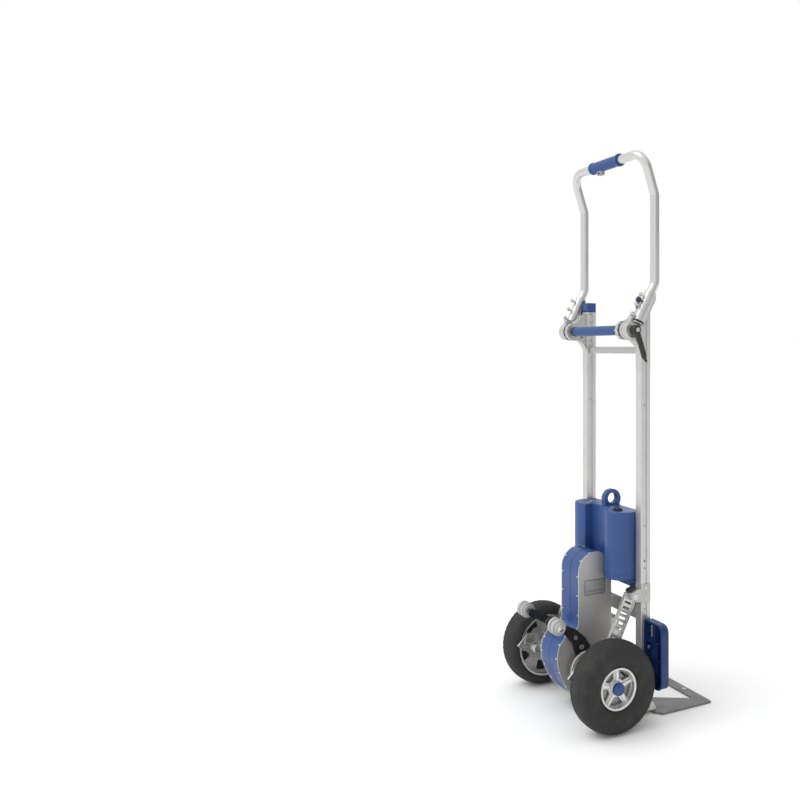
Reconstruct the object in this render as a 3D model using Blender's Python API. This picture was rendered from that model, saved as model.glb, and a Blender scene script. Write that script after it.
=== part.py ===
"""Stair climbing trolley: a powered hand truck with two wheels, a lift-off battery and a tilting handle.

The trolley stands upright. Its toe plate points to -Y, its wheels are at the back, +X is the trolley's own
left and Z is up. Lengths below are millimetres measured from the point on the floor under the wheel axle;
SHIFT moves them to the finished origin, the middle of the footprint.
"""

import math

import bmesh
import bpy
from mathutils import Matrix, Vector

for old in list(bpy.data.objects):
    bpy.data.objects.remove(old, do_unlink=True)

MM = 0.001
SHIFT = Vector((0.0, 120.5, 0.0))
GAP = 0.3

# Wheels and axle
AXLE_Z = 130.0
WHEEL_X = 207.5
AXLE_R = 10.0

# Load frame
RAIL_IN, RAIL_OUT = 133.0, 162.0
RAIL_FRONT, RAIL_BACK = -165.0, -131.0
RAIL_LOW, RAIL_TOP = 12.0, 1204.0
CAP_TOP = 1234.0

# Handle
PIVOT = (-82.6, 1139.5)
LEG_X, LEG_Y = 192.0, -157.7
LEG_LOW, LEG_HIGH = 1275.0, 1537.0
BAR_Y, BAR_Z = -116.0, 1658.0
TUBE_R = 13.5

# Drive unit
DRIVE_HALF = 50.3
SHEET = 3.0
ARCH = (-42.0, 413.0)
ARCH_R = 58.5

# Battery
LOBE = (84.0, -112.0)
LOBE_R = 50.0
BATTERY_LOW, BATTERY_TOP = 396.0, 598.0

PALETTE = {
    "blue": ((0.030, 0.090, 0.300), 0.42, 0.0),
    "blue_foam": ((0.035, 0.095, 0.320), 0.75, 0.0),
    "dark_blue": ((0.010, 0.020, 0.075), 0.50, 0.0),
    "aluminium": ((0.70, 0.70, 0.70), 0.38, 0.9),
    "cast": ((0.58, 0.58, 0.57), 0.50, 0.85),
    "steel": ((0.55, 0.55, 0.56), 0.32, 1.0),
    "zinc": ((0.72, 0.72, 0.70), 0.40, 1.0),
    "plate": ((0.24, 0.24, 0.24), 0.55, 0.7),
    "white": ((0.80, 0.80, 0.78), 0.45, 0.0),
    "grey": ((0.45, 0.45, 0.45), 0.60, 0.0),
    "black": ((0.02, 0.02, 0.02), 0.50, 0.2),
    "rubber": ((0.025, 0.025, 0.025), 0.85, 0.0),
}

COLLECTION = bpy.data.collections.new("stair_climbing_trolley")
bpy.context.scene.collection.children.link(COLLECTION)


def paint(obj, look):
    colour, roughness, metallic = PALETTE[look]
    material = bpy.data.materials.new(obj.name + "_material")
    material.use_nodes = True
    shader = material.node_tree.nodes["Principled BSDF"]
    shader.inputs["Base Color"].default_value = (*colour, 1.0)
    shader.inputs["Roughness"].default_value = roughness
    shader.inputs["Metallic"].default_value = metallic
    material.diffuse_color = (*colour, 1.0)
    obj.data.materials.clear()
    obj.data.materials.append(material)


def finish(name, bm, look, pivot=(0.0, 0.0, 0.0), smooth=35.0):
    """Turns a bmesh in millimetres into a named object whose origin is its pivot."""
    bmesh.ops.remove_doubles(bm, verts=bm.verts, dist=2e-4)
    bmesh.ops.recalc_face_normals(bm, faces=bm.faces)
    if bm.calc_volume(signed=True) < 0:
        bmesh.ops.reverse_faces(bm, faces=bm.faces)
    bmesh.ops.translate(bm, verts=bm.verts, vec=-Vector(pivot))
    bmesh.ops.scale(bm, verts=bm.verts, vec=(MM, MM, MM))
    for edge in bm.edges:
        edge.smooth = len(edge.link_faces) == 2 and edge.calc_face_angle() < math.radians(smooth)
    for face in bm.faces:
        face.smooth = True
    mesh = bpy.data.meshes.new(name)
    bm.to_mesh(mesh)
    bm.free()
    obj = bpy.data.objects.new(name, mesh)
    obj.location = (Vector(pivot) + SHIFT) * MM
    COLLECTION.objects.link(obj)
    paint(obj, look)
    return obj


def combine(name, base, others, look, pivot=(0.0, 0.0, 0.0)):
    """Joins bmeshes to a base, or cuts the ones given as (mesh, "DIFFERENCE"), with exact Booleans."""
    def holder(bm, label):
        bmesh.ops.remove_doubles(bm, verts=bm.verts, dist=1e-3)
        bmesh.ops.recalc_face_normals(bm, faces=bm.faces)
        if bm.calc_volume(signed=True) < 0:
            bmesh.ops.reverse_faces(bm, faces=bm.faces)
        mesh = bpy.data.meshes.new(label)
        bm.to_mesh(mesh)
        bm.free()
        obj = bpy.data.objects.new(label, mesh)
        COLLECTION.objects.link(obj)
        return obj

    body = holder(base, name + "_base")
    tools = []
    for index, item in enumerate(others):
        bm, kind = item if isinstance(item, tuple) else (item, "UNION")
        tool = holder(bm, f"{name}_tool_{index}")
        tools.append(tool)
        modifier = body.modifiers.new(f"join_{index}", "BOOLEAN")
        modifier.operation = kind
        modifier.solver = "EXACT"
        modifier.object = tool
    bpy.context.view_layer.update()
    graph = bpy.context.evaluated_depsgraph_get()
    result = bmesh.new()
    evaluated = body.evaluated_get(graph)
    result.from_mesh(evaluated.to_mesh())
    evaluated.to_mesh_clear()
    for obj in [body, *tools]:
        mesh = obj.data
        bpy.data.objects.remove(obj, do_unlink=True)
        bpy.data.meshes.remove(mesh)
    bmesh.ops.triangulate(result, faces=[f for f in result.faces if len(f.verts) > 4])
    return finish(name, result, look, pivot)


AXES = {
    "X": Matrix(((0, 0, 1), (1, 0, 0), (0, 1, 0))),
    "Y": Matrix(((1, 0, 0), (0, 0, 1), (0, 1, 0))),
    "Z": Matrix.Identity(3),
}


def prism(outline, axis, low, high, holes=()):
    """A flat outline with holes, pushed along an axis. Points are (y, z), (x, z) or (x, y) for X, Y and Z."""
    bm = bmesh.new()
    edges = []
    for loop in [outline, *holes]:
        verts = [bm.verts.new((a, b, low)) for a, b in loop]
        edges += [bm.edges.new((verts[i - 1], verts[i])) for i in range(len(verts))]
    if holes:
        made = bmesh.ops.triangle_fill(bm, edges=edges, use_beauty=True, use_dissolve=False)
        faces = [g for g in made["geom"] if isinstance(g, bmesh.types.BMFace)]
    else:
        faces = [bm.faces.new([v for v in bm.verts])]
    pushed = bmesh.ops.extrude_face_region(bm, geom=faces, use_keep_orig=True)
    verts = [g for g in pushed["geom"] if isinstance(g, bmesh.types.BMVert)]
    bmesh.ops.translate(bm, verts=verts, vec=(0, 0, high - low))
    bmesh.ops.transform(bm, matrix=AXES[axis].to_4x4(), verts=bm.verts)
    bmesh.ops.recalc_face_normals(bm, faces=bm.faces)
    return bm


def box(x0, x1, y0, y1, z0, z1, bevel=0.0):
    bm = prism([(x0, y0), (x1, y0), (x1, y1), (x0, y1)], "Z", z0, z1)
    if bevel:
        bmesh.ops.bevel(bm, geom=bm.edges[:], offset=bevel, segments=1, affect="EDGES")
    return bm


def lathe(profile, axis, centre, steps=32):
    """A closed (radius, height) profile turned about an axis through centre."""
    bm = bmesh.new()
    verts = [bm.verts.new((r, 0.0, h)) for r, h in profile]
    edges = [bm.edges.new((verts[i - 1], verts[i])) for i in range(len(verts))]
    bmesh.ops.spin(
        bm, geom=verts + edges, cent=(0, 0, 0), axis=(0, 0, 1), dvec=(0, 0, 0),
        angle=2 * math.pi, steps=steps, use_merge=True,
    )
    bmesh.ops.remove_doubles(bm, verts=bm.verts, dist=1e-4)
    bmesh.ops.transform(bm, matrix=AXES[axis].to_4x4(), verts=bm.verts)
    bmesh.ops.translate(bm, verts=bm.verts, vec=centre)
    bmesh.ops.recalc_face_normals(bm, faces=bm.faces)
    return bm


def rod(axis, centre, radius, low, high, steps=24, chamfer=0.0):
    """A plain or chamfered cylinder, from low to high along its axis, through centre."""
    profile = [(0, low), (radius - chamfer, low)]
    if chamfer:
        profile.append((radius, low + chamfer))
        profile.append((radius, high - chamfer))
        profile.append((radius - chamfer, high))
    else:
        profile.append((radius, high))
    profile.append((0, high))
    bm = lathe_open(profile, steps)
    bmesh.ops.transform(bm, matrix=AXES[axis].to_4x4(), verts=bm.verts)
    bmesh.ops.translate(bm, verts=bm.verts, vec=centre)
    bmesh.ops.recalc_face_normals(bm, faces=bm.faces)
    return bm


def lathe_open(profile, steps):
    """A profile that starts and ends on the axis, turned into a solid."""
    bm = bmesh.new()
    verts = [bm.verts.new((r, 0.0, h)) for r, h in profile]
    edges = [bm.edges.new((verts[i], verts[i + 1])) for i in range(len(verts) - 1)]
    bmesh.ops.spin(
        bm, geom=verts + edges, cent=(0, 0, 0), axis=(0, 0, 1), dvec=(0, 0, 0),
        angle=2 * math.pi, steps=steps, use_merge=True,
    )
    bmesh.ops.remove_doubles(bm, verts=bm.verts, dist=1e-3)
    return bm


def tube(points, radius, sides=16, closed=False):
    """A round bar along a list of points, made from a bevelled curve and welded at its caps."""
    curve = bpy.data.curves.new("path", "CURVE")
    curve.dimensions = "3D"
    curve.bevel_depth = radius
    curve.bevel_resolution = max(0, (sides - 4) // 2)
    curve.use_fill_caps = True
    line = curve.splines.new("POLY")
    line.points.add(len(points) - 1)
    for point, place in zip(line.points, points):
        point.co = (*place, 1.0)
    line.use_cyclic_u = closed
    obj = bpy.data.objects.new("path", curve)
    COLLECTION.objects.link(obj)
    bpy.context.view_layer.update()
    mesh = bpy.data.meshes.new_from_object(obj.evaluated_get(bpy.context.evaluated_depsgraph_get()))
    bm = bmesh.new()
    bm.from_mesh(mesh)
    bpy.data.objects.remove(obj, do_unlink=True)
    bpy.data.curves.remove(curve)
    bpy.data.meshes.remove(mesh)
    bmesh.ops.remove_doubles(bm, verts=bm.verts, dist=1e-2)
    bmesh.ops.recalc_face_normals(bm, faces=bm.faces)
    return bm


def arc(cx, cy, r, start, end, steps):
    """Points on an arc, by angle in degrees."""
    turn = [math.radians(start + (end - start) * i / steps) for i in range(steps + 1)]
    return [(cx + r * math.cos(t), cy + r * math.sin(t)) for t in turn]


def circle(cx, cy, r, steps=20):
    return arc(cx, cy, r, 0, 360, steps)[:-1]


def rounded(points, radius, steps=4):
    """The outline with each corner replaced by an arc of the given radius."""
    out = []
    radii = radius if isinstance(radius, (list, tuple)) else [radius] * len(points)
    for i, point in enumerate(points):
        here = Vector(point)
        before = (Vector(points[i - 1]) - here)
        after = (Vector(points[(i + 1) % len(points)]) - here)
        r = radii[i]
        if r <= 0:
            out.append(tuple(here))
            continue
        half = before.angle(after) / 2
        back = min(r / math.tan(half), 0.48 * before.length, 0.48 * after.length)
        start = here + before.normalized() * back
        stop = here + after.normalized() * back
        for k in range(steps + 1):
            t = k / steps
            out.append(tuple((1 - t) ** 2 * start + 2 * t * (1 - t) * here + t * t * stop))
    return out


def mirrored(points):
    return [(-a, b) for a, b in reversed(points)]


def both_sides(make):
    """Runs make(side, name suffix) for the trolley's left (+X) and right (-X)."""
    for side, label in ((1, "left"), (-1, "right")):
        make(side, label)


def span(side, low, high):
    return (low, high) if side > 0 else (-high, -low)


# ---------------------------------------------------------------- load frame

def make_rail(side, label):
    a, b = RAIL_IN, RAIL_OUT
    y0, y1 = RAIL_FRONT, RAIL_BACK
    mid, g, d = (y0 + y1) / 2, 3.0, 2.2
    outline = rounded([(a, y0), (b, y0), (b, y1), (a, y1)], 2.0, 2)
    groove_outer = [(b + 1, mid - g), (b + 1, mid + g), (b - d, mid + g), (b - d, mid - g)]
    groove_inner = [(a - 1, mid - g), (a - 1, mid + g), (a + d, mid + g), (a + d, mid - g)]
    hollow = rounded([(a + 5, y0 + 4), (b - 5, y0 + 4), (b - 5, y1 - 4), (a + 5, y1 - 4)], 1.5, 1)
    flip = (lambda pts: pts) if side > 0 else mirrored
    body = prism(flip(outline), "Z", RAIL_LOW, RAIL_TOP, holes=[flip(hollow)])
    cuts = [
        (prism(flip(groove_outer), "Z", RAIL_LOW - 1, RAIL_TOP + 1), "DIFFERENCE"),
        (prism(flip(groove_inner), "Z", RAIL_LOW - 1, RAIL_TOP + 1), "DIFFERENCE"),
    ]
    combine(f"rail_{label}", body, cuts, "aluminium", (side * (a + b) / 2, mid, RAIL_LOW))


def make_cap(side, label):
    a, b = span(side, RAIL_IN - 1.0, RAIL_OUT + 1.0)
    top = box(a, b, RAIL_FRONT - 1.0, RAIL_BACK + 1.0, RAIL_TOP + GAP, CAP_TOP, 2.5)
    c, d = span(side, RAIL_IN + 6.4, RAIL_OUT - 6.4)
    plug = box(c, d, RAIL_FRONT + 5.4, RAIL_BACK - 5.4, RAIL_TOP - 16, RAIL_TOP + 6)
    combine(f"rail_cap_{label}", top, [plug], "blue", ((a + b) / 2, -148.0, RAIL_TOP))


both_sides(make_rail)
both_sides(make_cap)

INNER = RAIL_IN - GAP


def crossbar(name, y0, y1, z0, z1, look="aluminium", bevel=1.0):
    finish(name, box(-INNER, INNER, y0, y1, z0, z1, bevel), look, (0, (y0 + y1) / 2, (z0 + z1) / 2))


crossbar("crossbar_top", -160.0, -138.0, 1070.0, 1091.0)
crossbar("crossbar_middle", RAIL_FRONT, -160.6, 477.0, 518.0)
crossbar("crossbar_lower", RAIL_FRONT, -159.0, 266.0, 311.0)
crossbar("crossbar_bottom", RAIL_FRONT, -153.0, 22.0, 46.0)

# Toe plate: a thin plate whose window is wide at the front and narrow at the frame
TOE_FRONT, TOE_BACK, TOE_HALF, TOE_THICK = -382.0, -172.0, 187.0, 6.0
toe_outline = rounded(
    [(-TOE_HALF, TOE_FRONT), (TOE_HALF, TOE_FRONT), (TOE_HALF, TOE_BACK - 22), (TOE_HALF - 24, TOE_BACK),
     (-TOE_HALF + 24, TOE_BACK), (-TOE_HALF, TOE_BACK - 22)], [16, 16, 14, 10, 10, 14], 4)
toe_window = rounded([(-143, -342), (143, -342), (66, -214), (-66, -214)], [9, 9, 12, 12], 4)
toe = prism(toe_outline, "Z", 0.0, TOE_THICK, holes=[toe_window])
toe_heads = [
    rod("Z", (x, -362.0, 0), 6.0, TOE_THICK - 1.0, TOE_THICK + 1.6, 12) for x in (-74.0, 74.0)
]
combine("toe_plate", toe, toe_heads, "plate", (0, TOE_BACK, 0))


def make_toe_block(side, label):
    a, b = span(side, 130.0, 156.0)
    finish(f"toe_block_{label}",
           prism([(RAIL_FRONT - GAP, 34.0), (RAIL_FRONT - GAP, TOE_THICK + GAP), (-190.0, TOE_THICK + GAP),
                  (-190.0, 14.0), (-178.0, 34.0)], "X", a, b),
           "white", ((a + b) / 2, RAIL_FRONT, 8.0))


both_sides(make_toe_block)

# ---------------------------------------------------------------- wheels

TYRE_PROFILE = [
    (60.6, 25), (66, 33), (80, 40), (97, 42), (112, 39.5), (124, 31.5), (129, 18), (130, 0),
    (129, -18), (124, -31), (112, -39), (104, -41), (98.8, -38), (98.8, -6.0), (60.6, -3.0),
]
WHEEL_STEPS = 36


def make_wheel(side, label):
    centre = (side * WHEEL_X, 0.0, AXLE_Z)

    def turned(profile, steps):
        return lathe([(r, side * h) for r, h in profile], "X", centre, steps)

    finish(f"tyre_{label}", turned(TYRE_PROFILE, WHEEL_STEPS), "rubber", centre, 50)
    # rim: outer ring, hub and five spokes between wedge-shaped windows
    windows = []
    for k in range(5):
        a0 = 90 + 72 * k + 10
        a1 = 90 + 72 * (k + 1) - 10
        mid = (a0 + a1) / 2
        outer = arc(0, AXLE_Z, 50.5, a0, a1, 5)
        inner = arc(0, AXLE_Z, 24.0, mid + 16, mid - 16, 2)
        windows.append(outer + inner)
    low, high = sorted((side * (WHEEL_X + 7), side * (WHEEL_X + 17)))
    web = prism(circle(0, AXLE_Z, 56.0, WHEEL_STEPS), "X", low, high, holes=windows)
    ring = turned([(52.0, 24), (54.5, 30), (60.0, 30), (60.0, -8), (54.0, -8), (52.3, 3)], WHEEL_STEPS)
    hub = rod("X", (0, 0, AXLE_Z), 20.5, *sorted((side * (WHEEL_X - 46), side * (WHEEL_X + 24))), 22, 1.5)
    bore = rod("X", (0, 0, AXLE_Z), AXLE_R + 0.6, *sorted((side * (WHEEL_X - 50), side * (WHEEL_X + 30))), 14)
    # drum: open bowl on the wheel's inner side, one casting with the rim
    bowl = turned([(98.2, -37), (98.2, -6.6), (17, -2.2), (16, -9.5), (93.5, -12), (93.5, -37)], WHEEL_STEPS)
    holes = []
    for k in range(5):
        t = math.radians(90 + 72 * k + 36)
        lo, hi = sorted((side * (WHEEL_X - 40), side * (WHEEL_X - 1.3)))
        outline = [(74 * math.cos(t) + p, AXLE_Z + 74 * math.sin(t) + q) for p, q in circle(0, 0, 12.3, 9)]
        holes.append((prism(outline, "X", lo, hi), "DIFFERENCE"))
    combine(f"rim_{label}", web, [ring, hub, bowl, *holes, (bore, "DIFFERENCE")], "cast", centre)
    cap = rod("X", (0, 0, AXLE_Z), 18.0, *span(side, WHEEL_X + 24 + GAP, WHEEL_X + 36), 24, 2.5)
    finish(f"hub_cap_{label}", cap, "blue", centre)


both_sides(make_wheel)
axle = rod("X", (0, 0, AXLE_Z), AXLE_R, -WHEEL_X - 22, WHEEL_X + 22, 16, 1.0)
finish("axle", axle, "steel", (0, 0, AXLE_Z))

# ---------------------------------------------------------------- struts, brackets, guide rollers, guards

STRUT_TOP = (-108.0, 355.0)
STRUT_WINDOWS = 12


def make_strut(side, label):
    a, b = span(side, 134.0, 146.0)
    along = (Vector((0.0, AXLE_Z)) - Vector(STRUT_TOP))
    length = along.length
    d = along.normalized()
    n = Vector((-d.y, d.x))
    top = Vector(STRUT_TOP)

    def at(s, t):
        p = top + d * s + n * t
        return (p.x, p.y)

    outline = [at(length, -21), at(length - 40, -17), at(14, -21), at(-2, -21), at(-19, -12),
               at(-19, 12), at(-2, 21), at(14, 21), at(length - 40, 17), at(length, 21),
               at(length + 15, 15), at(length + 21, 0), at(length + 15, -15)]
    holes = [circle(STRUT_TOP[0], STRUT_TOP[1], 6.5, 12), circle(0, AXLE_Z, AXLE_R + 0.6, 16)]
    for k in range(STRUT_WINDOWS):
        s = 20 + k * 15.5
        w = 13.5 - 0.25 * k
        holes.append([at(s, -w), at(s, w), at(s + 8, w), at(s + 8, -w)])
    finish(f"strut_{label}", prism(outline, "X", a, b, holes=holes), "zinc", (side * 140.0, 0, AXLE_Z))


def make_strut_bracket(side, label):
    back = RAIL_BACK + GAP
    plate = prism(rounded([(-163, 334), (-129, 334), (-129, 388), (-163, 388)], 4, 2),
                  "X", *span(side, RAIL_OUT + GAP, RAIL_OUT + 2.2))
    lug = prism([(back, 338), (-118, 338), (-97, 346), (-97, 366), (-118, 376), (back, 376)],
                "X", *span(side, RAIL_IN + 14.0, RAIL_OUT + 2.0))
    pin = rod("X", (0, *STRUT_TOP), 6.0, *span(side, 130.0, RAIL_OUT + 3.0), 12)
    heads = [rod("X", (0, -146.0, z), 3.5, *span(side, RAIL_OUT + 1, RAIL_OUT + 4), 8) for z in (344, 378)]
    combine(f"strut_bracket_{label}", plate, [lug, pin, *heads], "zinc", (side * RAIL_OUT, -130.0, 360.0))


def make_side_bracket(side, label):
    a, b = span(side, 148.0, 155.0)
    outline = [(RAIL_BACK + GAP, 122), (RAIL_BACK + GAP, 20), *arc(-104, 24, 15, 200, 330, 5),
               (-78, 50), (-30, 96), *arc(0, AXLE_Z, 30, -80, -20, 4), (66, 121), (101, 137), (116, 150),
               (84, 183), (60, 185), (40, 160), (14, 168), (-22, 156), (-60, 128)]
    plate = prism(outline, "X", a, b)
    boss = rod("X", (0, 52.0, 136.0), 14.0, *span(side, 136.0, 152.0), 14, 2.5)
    eye = rod("X", (0, 0, AXLE_Z), 25.0, *span(side, 147.0, 160.0), 18, 1.0)
    fins = [box(*span(side, 143.0, 150.0), 56.0, 92.0, z - 1.5, z + 1.5) for z in (158.0, 165.0, 172.0)]
    bore = rod("X", (0, 0, AXLE_Z), AXLE_R + 0.6, *span(side, 140.0, 166.0), 14)
    c, d = span(side, 136.0, 160.0)
    flange = box(c, d, RAIL_BACK + GAP, -124.0, 30.0, 118.0)
    stub = rod("X", (0, -104.0, 24.0), 5.0, *span(side, 128.6, 152.0), 12)
    combine(f"side_bracket_{label}", plate,
            [flange, stub, boss, eye, *fins, (bore, "DIFFERENCE")],
            "zinc", (side * 150.0, 0, AXLE_Z))
    roller = lathe([(5.4, 0), (19, 0), (20, 2), (20, 14), (19, 16), (5.4, 16)], "X",
                   (side * 131.0 if side > 0 else -147.0, -104.0, 24.0), 24)
    finish(f"guide_roller_{label}", roller, "grey", (side * 139.0, -104.0, 24.0))


def make_guard(side, label):
    low, high = RAIL_OUT + 1.0, 246.0
    flip = (lambda pts: pts) if side > 0 else mirrored
    front = flip(rounded([(low, 98), (high, 98), (high, 286), (low, 286)], [8, 24, 24, 10], 5))
    inner = flip(rounded([(low + 3.5, 101.5), (high - 3.5, 101.5), (high - 3.5, 282.5), (low + 3.5, 282.5)],
                         [6, 21, 21, 7], 5))
    shell = prism(front, "Y", -167.0, -140.0)
    cavity = prism(inner, "Y", -163.0, -136.0)
    ribs = []
    for z in (140.0, 190.0, 232.0):
        lo, hi = span(side, low + 2, high - 2)
        ribs.append(box(lo, hi, -164.0, -150.0, z - 1.5, z + 1.5))
    lo, hi = span(side, low + 36, low + 39)
    ribs.append(box(lo, hi, -164.0, -152.0, 102.0, 282.0))
    bosses = [rod("Y", (side * (low + 12), 0, z), 7.0, -164.0, -146.0, 12) for z in (165.0, 262.0)]
    combine(f"wheel_guard_{label}", shell,
            [(cavity, "DIFFERENCE"), *ribs, *bosses],
            "blue", (side * RAIL_OUT, -150.0, 175.0))


both_sides(make_strut)
both_sides(make_strut_bracket)
both_sides(make_side_bracket)
both_sides(make_guard)

# ---------------------------------------------------------------- drive unit

FRONT = ARCH[0] - ARCH_R
LOWER_LOBE = [
    (16.5, 264), (18, 256), (23, 249), (32, 244), (45, 239), (58, 231), (70, 221), (80, 208), (87, 190),
    (90, 168), (88, 148), (81, 125), (70, 101), (58, 80), (45, 62), (32, 50), (16, 42), (0, 39),
]
SIDE_OUTLINE = [*arc(*ARCH, ARCH_R, 180, 0, 16), *LOWER_LOBE, (-70, 39), (FRONT, 66)]


def shrink(points, amount):
    """The outline moved inwards by a constant amount."""
    out = []
    for i, point in enumerate(points):
        p = Vector(point)
        e0 = (p - Vector(points[i - 1])).normalized()
        e1 = (Vector(points[(i + 1) % len(points)]) - p).normalized()
        bisector = Vector((e0.y + e1.y, -(e0.x + e1.x))).normalized()
        scale = amount / max(0.5, bisector.dot(Vector((e1.y, -e1.x))))
        out.append(tuple(p + bisector * scale))
    return out


def make_drive_side(side, label):
    a, b = span(side, DRIVE_HALF - SHEET, DRIVE_HALF)
    plate = prism(SIDE_OUTLINE, "X", a, b, holes=[circle(0, AXLE_Z, 17.0, 20)])
    recess = []
    if side < 0:
        label_plate = rounded([(-82, 342), (-3, 342), (-3, 390), (-82, 390)], 7, 3)
        recess = [(prism(label_plate, "X", -DRIVE_HALF - 1, -DRIVE_HALF + 1.2), "DIFFERENCE")]
    combine(f"drive_side_{label}", plate, recess, "aluminium", (side * DRIVE_HALF, 0, AXLE_Z))


both_sides(make_drive_side)
band_half = DRIVE_HALF - SHEET - GAP
outer = shrink(SIDE_OUTLINE, 1.0)
inner = shrink(SIDE_OUTLINE, 4.0)
strip = len(SIDE_OUTLINE) - 2
band = prism(outer[:strip] + inner[:strip][::-1], "X", -band_half, band_half)
finish("drive_cover_band", band, "blue", (0, 0, 300.0))
front_wall = box(-band_half, band_half, FRONT + 1.0, FRONT + 4.0, 70.0, ARCH[1] - 2.0)
nose_sides = box(-33.0, 33.0, -138.0, FRONT + 2.5, 52.0, 258.0, 2.0)
lug_places = [(x, 0.0, z) for x in (-34.0, 34.0) for z in (84.0, 154.0, 224.0)]
nose_lugs = [rod("Y", place, 6.0, -138.0, -104.0, 10) for place in lug_places]
nose_void = box(-28.0, 28.0, -130.0, FRONT + 12.0, 74.0, 252.0)
combine("drive_nose", nose_sides,
        [front_wall, *nose_lugs, (nose_void, "DIFFERENCE")],
        "cast", (0, FRONT, 155.0))
cover = box(-32.0, 32.0, -141.5, -138.0 - GAP, 53.0, 257.0, 0.8)
cover_lugs = [rod("Y", place, 6.0, -141.5, -138.0 - GAP, 8) for place in lug_places]
cover_heads = [rod("Y", place, 3.5, -144.0, -141.0, 6) for place in lug_places]
combine("drive_nose_cover", cover, [*cover_lugs, *cover_heads], "white", (0, -140.0, 155.0))
motor = rod("Z", (0, ARCH[0], 0), 38.0, 306.0, 440.0, 24, 4.0)
motor_neck = rod("Z", (0, ARCH[0], 0), 20.0, 300.6, 310.0, 16)
combine("drive_motor", motor, [motor_neck], "black", (0, ARCH[0], 300.0))
gearbox = box(-40.0, 40.0, -92.0, 8.0, 214.0, 300.0, 3.0)
finish("reduction_gearbox", gearbox, "cast", (0, ARCH[0], 250.0))

# crank: gear and sleeve on the axle, lifting levers with rubber feet outside the housing
GEAR_TEETH, GEAR_R, GEAR_ROOT = 26, 68.0, 62.5
gear_outline = []
for k in range(GEAR_TEETH):
    for fraction, radius in ((0.0, GEAR_ROOT), (0.3, GEAR_ROOT), (0.42, GEAR_R), (0.78, GEAR_R)):
        t = 2 * math.pi * (k + fraction) / GEAR_TEETH
        gear_outline.append((radius * math.cos(t), AXLE_Z + radius * math.sin(t)))
gear = prism(gear_outline, "X", -10.0, 10.0, holes=[circle(0, AXLE_Z, AXLE_R + 0.6, 16)])
sleeve = lathe([(AXLE_R + 0.6, -66), (16.0, -66), (16.0, 66), (AXLE_R + 0.6, 66)], "X", (0, 0, AXLE_Z), 16)
combine("crank_gear", gear, [sleeve], "steel", (0, 0, AXLE_Z))


LEVER_REST = -152.0


def swung(points):
    """Points drawn for a lever pointing straight back, turned about the axle to its resting angle."""
    c, s = math.cos(math.radians(LEVER_REST)), math.sin(math.radians(LEVER_REST))
    return [(y * c - z * s, AXLE_Z + y * s + z * c) for y, z in points]


def make_lever(side, label):
    """Both levers are drawn on the -X side, and the +X one is the mirror image."""
    web = prism(swung([*arc(0, 0, 30, 60, 300, 8), (50, -18), (104, -15), (104, 15), (50, 18)]),
                "X", -112.0, -102.0)
    disc = rod("X", (0, 0, AXLE_Z), 58.0, -75.0, -66.4, 26, 2.0)
    hub = rod("X", (0, 0, AXLE_Z), 26.0, -127.4, -68.0, 18, 3.0)
    bore = rod("X", (0, 0, AXLE_Z), AXLE_R + 0.6, -133.0, -60.0, 16)
    rib = [(18, 12.5), (14, 23), (50, 19), (102, 16.3), (102, 9.8), (50, 12)]
    ribs = [prism(swung([(y, k * z) for y, z in rib]), "X", -122.0, -92.0) for k in (1, -1)]
    lever = combine(f"climb_lever_{label}", web,
                    [disc, hub, *ribs, (bore, "DIFFERENCE")],
                    "cast", (-107.0, 0, AXLE_Z))
    sole = [(104.0 + GAP, -19), (138, -19), (148, -8), (148, 8), (138, 19), (104.0 + GAP, 19)]
    foot = prism(swung(rounded(sole, 4, 2)), "X", -127.0, -88.0)
    pad = finish(f"climb_foot_{label}", foot, "rubber", (-107.0, *swung([(104, 0)])[0]))
    if side > 0:
        for obj in (lever, pad):
            obj.data.transform(Matrix.Scale(-1.0, 4, Vector((1.0, 0.0, 0.0))))
            obj.data.flip_normals()
            obj.location.x = -obj.location.x


def make_edge_arm(side, label):
    a, b = span(side, DRIVE_HALF + GAP, DRIVE_HALF + 6.0)
    outline = [(111, 296), (88, 282), (63, 266), (28, 249), (-4, 221), (-23, 190), (-24, 162), (24, 158),
               (33, 185), (42, 211), (68, 240), (95, 257), *arc(118, 283, 13.5, -55, 95, 6)]
    plate = prism(outline, "X", a, b)
    bolts = [rod("X", (0, y, z), r, *span(side, DRIVE_HALF + 5, DRIVE_HALF + 9.5), 10)
             for y, z, r in ((32, 226, 6.0), (11, 196, 7.5))]
    stub = rod("X", (0, 118.0, 283.0), 6.0, *span(side, DRIVE_HALF + 3, 119.0), 12)
    combine(f"edge_arm_{label}", plate, [*bolts, stub], "black", (side * DRIVE_HALF, 0, 200.0))
    profile = [(6.5, 0), (17, 0), (17, 6), (23, 7), (23, 18), (18, 19), (18, 26), (23, 27), (23, 38),
               (16, 40), (16, 45), (6.5, 45)]
    roller = lathe(profile, "X", (72.0 if side > 0 else -117.0, 118.0, 283.0), 18)
    finish(f"edge_roller_{label}", roller, "grey", (side * 94.5, 118.0, 283.0))


both_sides(make_lever)
both_sides(make_edge_arm)

# ---------------------------------------------------------------- battery

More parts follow.
